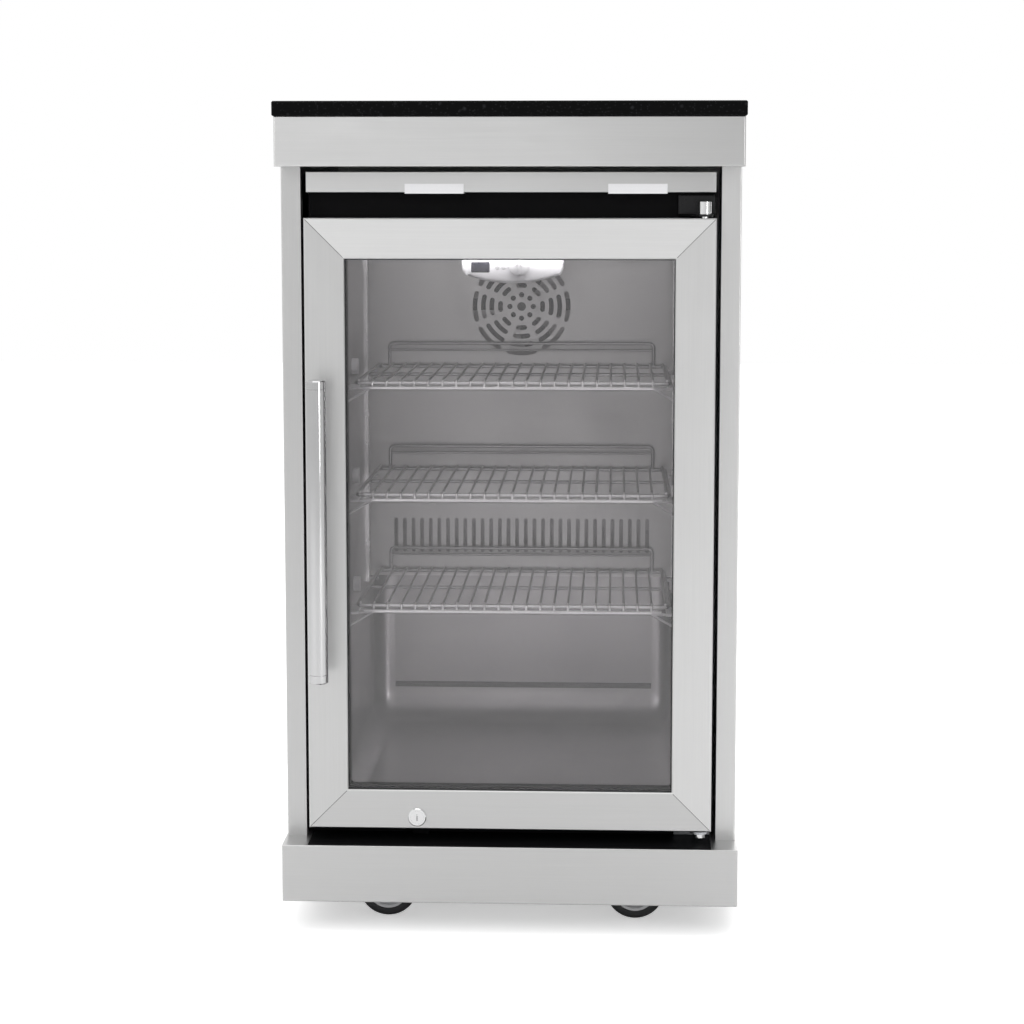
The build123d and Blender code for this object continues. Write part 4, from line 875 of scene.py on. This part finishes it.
class AddCastors(ModuleOperator, bpy.types.Operator):
    """Castor wheels with rubber tyres and ribbed hubs, and the finish of their forks and pedals"""
    bl_idname = "module.add_castors"
    bl_label = "Add the castors"

    def make(self, scene):
        for name in castors:
            low, high = corner(f"castor_wheel_{name}")
            centre = (low + high) / 2
            radius = (high.z - low.z) / 2
            half = (high.y - low.y) / 2
            rim = radius - 0.0105
            bm = bmesh.new()
            tread = [(rim, half - 0.0015), (radius - 0.005, half - 0.0005), (radius - 0.0018, half - 0.003),
                     (radius - 0.0004, half * 0.5)]
            turned(bm, [(r, -along) for r, along in tread] + [(radius, 0.0)] + tread[::-1],
                   centre, (0, 1, 0), steps=72, closed=True)
            piece(f"tyre_{name}", bm, "rubber", f"wheel_{name}",
                  (f"castor_wheel_{name}",), crease=50)

            bm = bmesh.new()
            web = half - 0.007
            side = [(0.0041, half), (0.0085, half), (0.0098, half - 0.0015), (0.0105, web),
                    (rim - 0.005, web), (rim - 0.0035, half - 0.002), (rim - 0.0005, half - 0.0012),
                    (rim, half - 0.0035)]
            turned(bm, [(r, -along) for r, along in side] + side[::-1],
                   centre, (0, 1, 0), steps=64, closed=True)
            for index in range(6):
                angle = index * pi / 3
                turn = Matrix.Translation(centre) @ Matrix.Rotation(angle, 4, "Y") \
                    @ Matrix.Translation(((rim + 0.006) / 2, 0, 0)) \
                    @ Matrix.Diagonal((rim - 0.0145, 2 * (web + 0.0022), 0.0018, 1))
                bmesh.ops.create_cube(bm, size=1, matrix=turn)
            piece(f"hub_{name}", bm, "grey", f"wheel_{name}", crease=35)
            finish(f"castor_fork_{name}", "plated")
            if name.startswith("front"):
                finish(f"brake_pedal_{name}", "black_moulded")


class AddBackDetail(ModuleOperator, bpy.types.Operator):
    """Louvre hoods over the back panel's slots, and its screws"""
    bl_idname = "module.add_back_detail"
    bl_label = "Add the back's louvres and screws"

    def make(self, scene):
        size = scene.module_details
        low, high = corner("back_panel")
        face = high.y
        fascia = corner("top_tray")[0].z
        bm = bmesh.new()
        for start, rows in ((low.z + 0.040, 8), (fascia - 0.120, 5)):
            for row in range(rows):
                for column in (-1, 0, 1):
                    self.hood(bm, column * size.column_spacing, face, start + row * size.louvre_pitch, size)
        piece("louvre_hoods", bm, "steel_upright", "cabinet", crease=40)

        bm = bmesh.new()
        screw_low, screw_high = corner("back_screws")
        head = 0.0045
        count = 5
        for x in (screw_low.x + head, screw_high.x - head):
            for index in range(count):
                z = screw_low.z + head + index * (screw_high.z - screw_low.z - 2 * head) / (count - 1)
                rise = screw_high.y - face
                turned(bm, [(0.0, rise - 0.0009), (0.0016, rise - 0.0009), (0.0019, rise - 0.0001),
                            (0.0030, rise), (head - 0.0004, rise * 0.55), (head, 0.0002), (head, 0.0)],
                       (x, face, z), (0, 1, 0), steps=24)
        piece("back_screw_heads", bm, "polished", "cabinet", ("back_screws",), crease=30)

    def hood(self, bm, x, face, z, size):
        """One pressed louvre: a domed strip, open along its lower edge."""
        half = size.louvre_length / 2 + 0.002
        made = bmesh.ops.create_grid(bm, x_segments=20, y_segments=6, size=0.5)["verts"]
        for vert in made:
            u, v = vert.co.x * 2, vert.co.y + 0.5
            end = max(0.0, 1 - abs(u) ** 8)
            rise = size.louvre_depth * end * (1 - v ** 3)
            vert.co = Vector((x + u * half, face + 0.0002 + rise, z + (v - 0.45) * size.louvre_height))
        faces = list({item for vert in made for item in vert.link_faces})
        bmesh.ops.solidify(bm, geom=faces, thickness=0.0006)


class AddPipes(ModuleOperator, bpy.types.Operator):
    """Return bends of the two coils"""
    bl_idname = "module.add_pipes"
    bl_label = "Add the pipework"

    def make(self, scene):
        tube = 0.004
        for node, name, rise, inset, first in (("evaporator_coil", "evaporator_bends", 0.026, 0.012, 0.015),
                                               ("condenser_coil", "condenser_bends", 0.024, 0.009, 0.019)):
            low, high = corner(node)
            bm = bmesh.new()
            z = low.z + first
            step = 0
            while z + rise < high.z - 0.008:
                x = high.x if step % 2 == 0 else low.x
                out = 1 if step % 2 == 0 else -1
                for y in (low.y + inset, high.y - inset):
                    tube_bend(bm, (x, y, z + rise / 2), (0, out, 0), (0, 0, 1), rise / 2, tube)
                z += rise
                step += 1
            piece(name, bm, "coil", "cabinet", crease=60)


class AddDoorSeals(ModuleOperator, bpy.types.Operator):
    """Soft glazing seal round the glass, and the mitred corners of the door"""
    bl_idname = "module.add_door_seals"
    bl_label = "Add the glazing seal"

    def make(self, scene):
        glass_low, glass_high = corner("glass_panes")
        lip = 0.0098
        low = Vector((glass_low.x + lip, glass_low.y, glass_low.z + lip))
        high = Vector((glass_high.x - lip, glass_low.y, glass_high.z - lip))
        bm = bmesh.new()
        proud = 0.0012
        thick = 0.0014
        for start, end in (((low.x - 0.001, low.z - 0.001), (high.x + 0.001, low.z + thick)),
                           ((low.x - 0.001, high.z - thick), (high.x + 0.001, high.z + 0.001)),
                           ((low.x - 0.001, low.z + thick), (low.x + thick, high.z - thick)),
                           ((high.x - thick, low.z + thick), (high.x + 0.001, high.z - thick))):
            slab(bm, (start[0], glass_low.y - proud, start[1]),
                 (end[0], glass_low.y - 0.0001, end[1]), 0.0003, 2)
        piece("glazing_seal", bm, "rubber", "door", crease=40)
        self.mitres()

    def mitres(self):
        """Hairline joints where the rails meet the stiles at 45 degrees."""
        rail_low = corner("door_rail_bottom")[0]
        rail_high = corner("door_rail_top")[1]
        width = corner("door_stile_left")[1].x - corner("door_stile_left")[0].x
        proud = 0.00012
        margin = 0.0016
        bm = bmesh.new()
        for x, out_x in ((rail_low.x, 1), (rail_high.x, -1)):
            for z, out_z in ((rail_low.z, 1), (rail_high.z, -1)):
                centre = Vector((x + out_x * width / 2, rail_low.y, z + out_z * width / 2))
                length = (width - 2 * margin) * 2 ** 0.5
                turn = Matrix.Translation(centre) @ Matrix.Rotation(-out_x * out_z * pi / 4, 4, "Y") \
                    @ Matrix.Diagonal((length, 2 * proud, 0.0007, 1))
                bmesh.ops.create_cube(bm, size=1, matrix=turn)
        piece("mitre_lines", bm, "seam", "door", crease=40)


class BuildStage(ModuleOperator, bpy.types.Operator):
    """Floor, soft studio light and the camera"""
    bl_idname = "module.build_stage"
    bl_label = "Build the stage"

    def make(self, scene):
        size = scene.module_stage
        self.floor()
        self.world(scene, size)
        self.light("key_light", (-2.4, -2.8, 2.6), (0.0, 0.0, 0.6), (2.4, 2.4), 42)
        self.light("fill_light", (2.2, -2.6, 1.2), (0.0, 0.0, 0.5), (0.35, 2.0), 22)
        self.light("top_light", (0.0, -0.4, 3.4), (0.0, 0.0, 0.0), (2.6, 2.6), 22)
        self.light("back_light", (0.4, 3.4, 2.2), (0.0, 0.0, 0.5), (2.4, 2.4), 30)
        housing = corner("control_housing")
        lamp = (0.0, housing[0].y - 0.012, housing[1].z - 0.006)
        self.light("cavity_light", lamp, (0.0, corner("evaporator_cover")[0].y, 0.6), (0.34, 0.01), 0.09)
        self.camera(scene, size)
        scene.view_settings.view_transform = "Standard"

    def floor(self):
        recipe = Recipe("stage_floor")
        speckle = recipe.group("fine_speckle", Scale=60.0, Share=0.1)
        pale = recipe.blend(speckle["Texture"], (0.90, 0.90, 0.90), (0.94, 0.94, 0.94))
        recipe.feed(Base_Color=pale, Roughness=recipe.ranged(speckle["Texture"], 0.6, 0.7))
        seen = recipe.node("ShaderNodeLightPath").outputs["Is Camera Ray"]
        glow = recipe.scaled(seen, 0.46)
        recipe.feed(Emission_Strength=glow).plain(Emission_Color=(1, 1, 1, 1))
        bm = bmesh.new()
        bmesh.ops.create_grid(bm, x_segments=1, y_segments=1, size=9)
        mesh = bpy.data.meshes.new("floor")
        bm.to_mesh(mesh)
        bm.free()
        floor = bpy.data.objects.new("floor", mesh)
        mesh.materials.append(recipe.material)
        bpy.context.scene.collection.objects.link(floor)

    def world(self, scene, size):
        world = bpy.data.worlds.new("studio")
        world.use_nodes = True
        tree = world.node_tree
        background = tree.nodes["Background"]
        background.inputs["Color"].default_value = (1, 1, 1, 1)
        way = add_node(tree, "ShaderNodeTexCoord").outputs["Generated"]
        split = add_node(tree, "ShaderNodeSeparateXYZ", [("Vector", way)])
        room = add_node(tree, "ShaderNodeMapRange", [("Value", split.outputs["X"])],
                        values={"From Min": -1.0, "To Min": size.left_light, "To Max": size.right_light})
        seen = add_node(tree, "ShaderNodeLightPath").outputs["Is Camera Ray"]
        far_right = self.window(tree, split.outputs["X"], 0.80, 0.99)
        behind = calculate(tree, "GREATER_THAN", split.outputs["Y"], 0.12)
        held = add_node(tree, "ShaderNodeMapRange",
                        [("Value", calculate(tree, "MULTIPLY", far_right, behind))],
                        values={"To Min": 1.0, "To Max": 0.12})
        lit = calculate(tree, "MULTIPLY", room.outputs["Result"], held.outputs["Result"])
        tree.links.new(calculate(tree, "MAXIMUM", lit, seen), background.inputs["Strength"])
        scene.world = world

    def window(self, tree, value, low, high):
        """1 between two values and 0 outside them."""
        return calculate(tree, "MULTIPLY", calculate(tree, "GREATER_THAN", value, low),
                         calculate(tree, "LESS_THAN", value, high))

    def light(self, name, place, aim, sides, power):
        data = bpy.data.lights.new(name, "AREA")
        data.shape = "RECTANGLE"
        data.size, data.size_y = sides
        data.energy = power
        light = bpy.data.objects.new(name, data)
        light.location = place
        light.rotation_mode = "QUATERNION"
        light.rotation_quaternion = (Vector(aim) - Vector(place)).to_track_quat("-Z", "Y")
        bpy.context.scene.collection.objects.link(light)

    def camera(self, scene, size):
        data = bpy.data.cameras.new("camera")
        data.lens = size.lens
        data.sensor_width = 36.0
        data.shift_y = size.shift
        camera = bpy.data.objects.new("camera", data)
        place = Vector((size.side, stile_face_y - size.distance, size.height))
        aim = Vector((size.aim_side, stile_face_y, size.aim_height))
        camera.location = place
        camera.rotation_mode = "QUATERNION"
        camera.rotation_quaternion = (aim - place).to_track_quat("-Z", "Y")
        scene.collection.objects.link(camera)
        scene.camera = camera


operators = (FinishCabinet, FinishDoor, FinishInside, AddCavitySeam, AddHandle, AddGasket, AddDoorSeals,
             AddControl, AddKnob, AddFans, AddCastors, AddBackDetail, AddPipes, BuildStage)


class ModulePanel(bpy.types.Panel):
    """Lists the module's operators."""
    bl_idname = "VIEW3D_PT_refrigerator_module"
    bl_label = "Refrigerator module"
    bl_space_type = "VIEW_3D"
    bl_region_type = "UI"
    bl_category = "Module"

    def draw(self, context):
        for operator in operators:
            self.layout.operator(operator.bl_idname)


looks = {"module_steel": SteelLook, "module_cooler": CoolerLook, "module_stone": StoneLook,
         "module_details": DetailSizes, "module_stage": StageSizes}


def register():
    for group in looks.values():
        bpy.utils.register_class(group)
    for name, group in looks.items():
        setattr(bpy.types.Scene, name, bpy.props.PointerProperty(type=group))
    for operator in operators:
        bpy.utils.register_class(operator)
    bpy.utils.register_class(ModulePanel)


def unregister():
    bpy.utils.unregister_class(ModulePanel)
    for operator in reversed(operators):
        bpy.utils.unregister_class(operator)
    for name, group in looks.items():
        delattr(bpy.types.Scene, name)
        bpy.utils.unregister_class(group)


def main():
    """Builds the whole look."""
    register()
    finishes.update(build_materials())
    for operator in operators:
        group, name = operator.bl_idname.split(".")
        getattr(getattr(bpy.ops, group), name)()


if __name__ == "__main__":
    main()
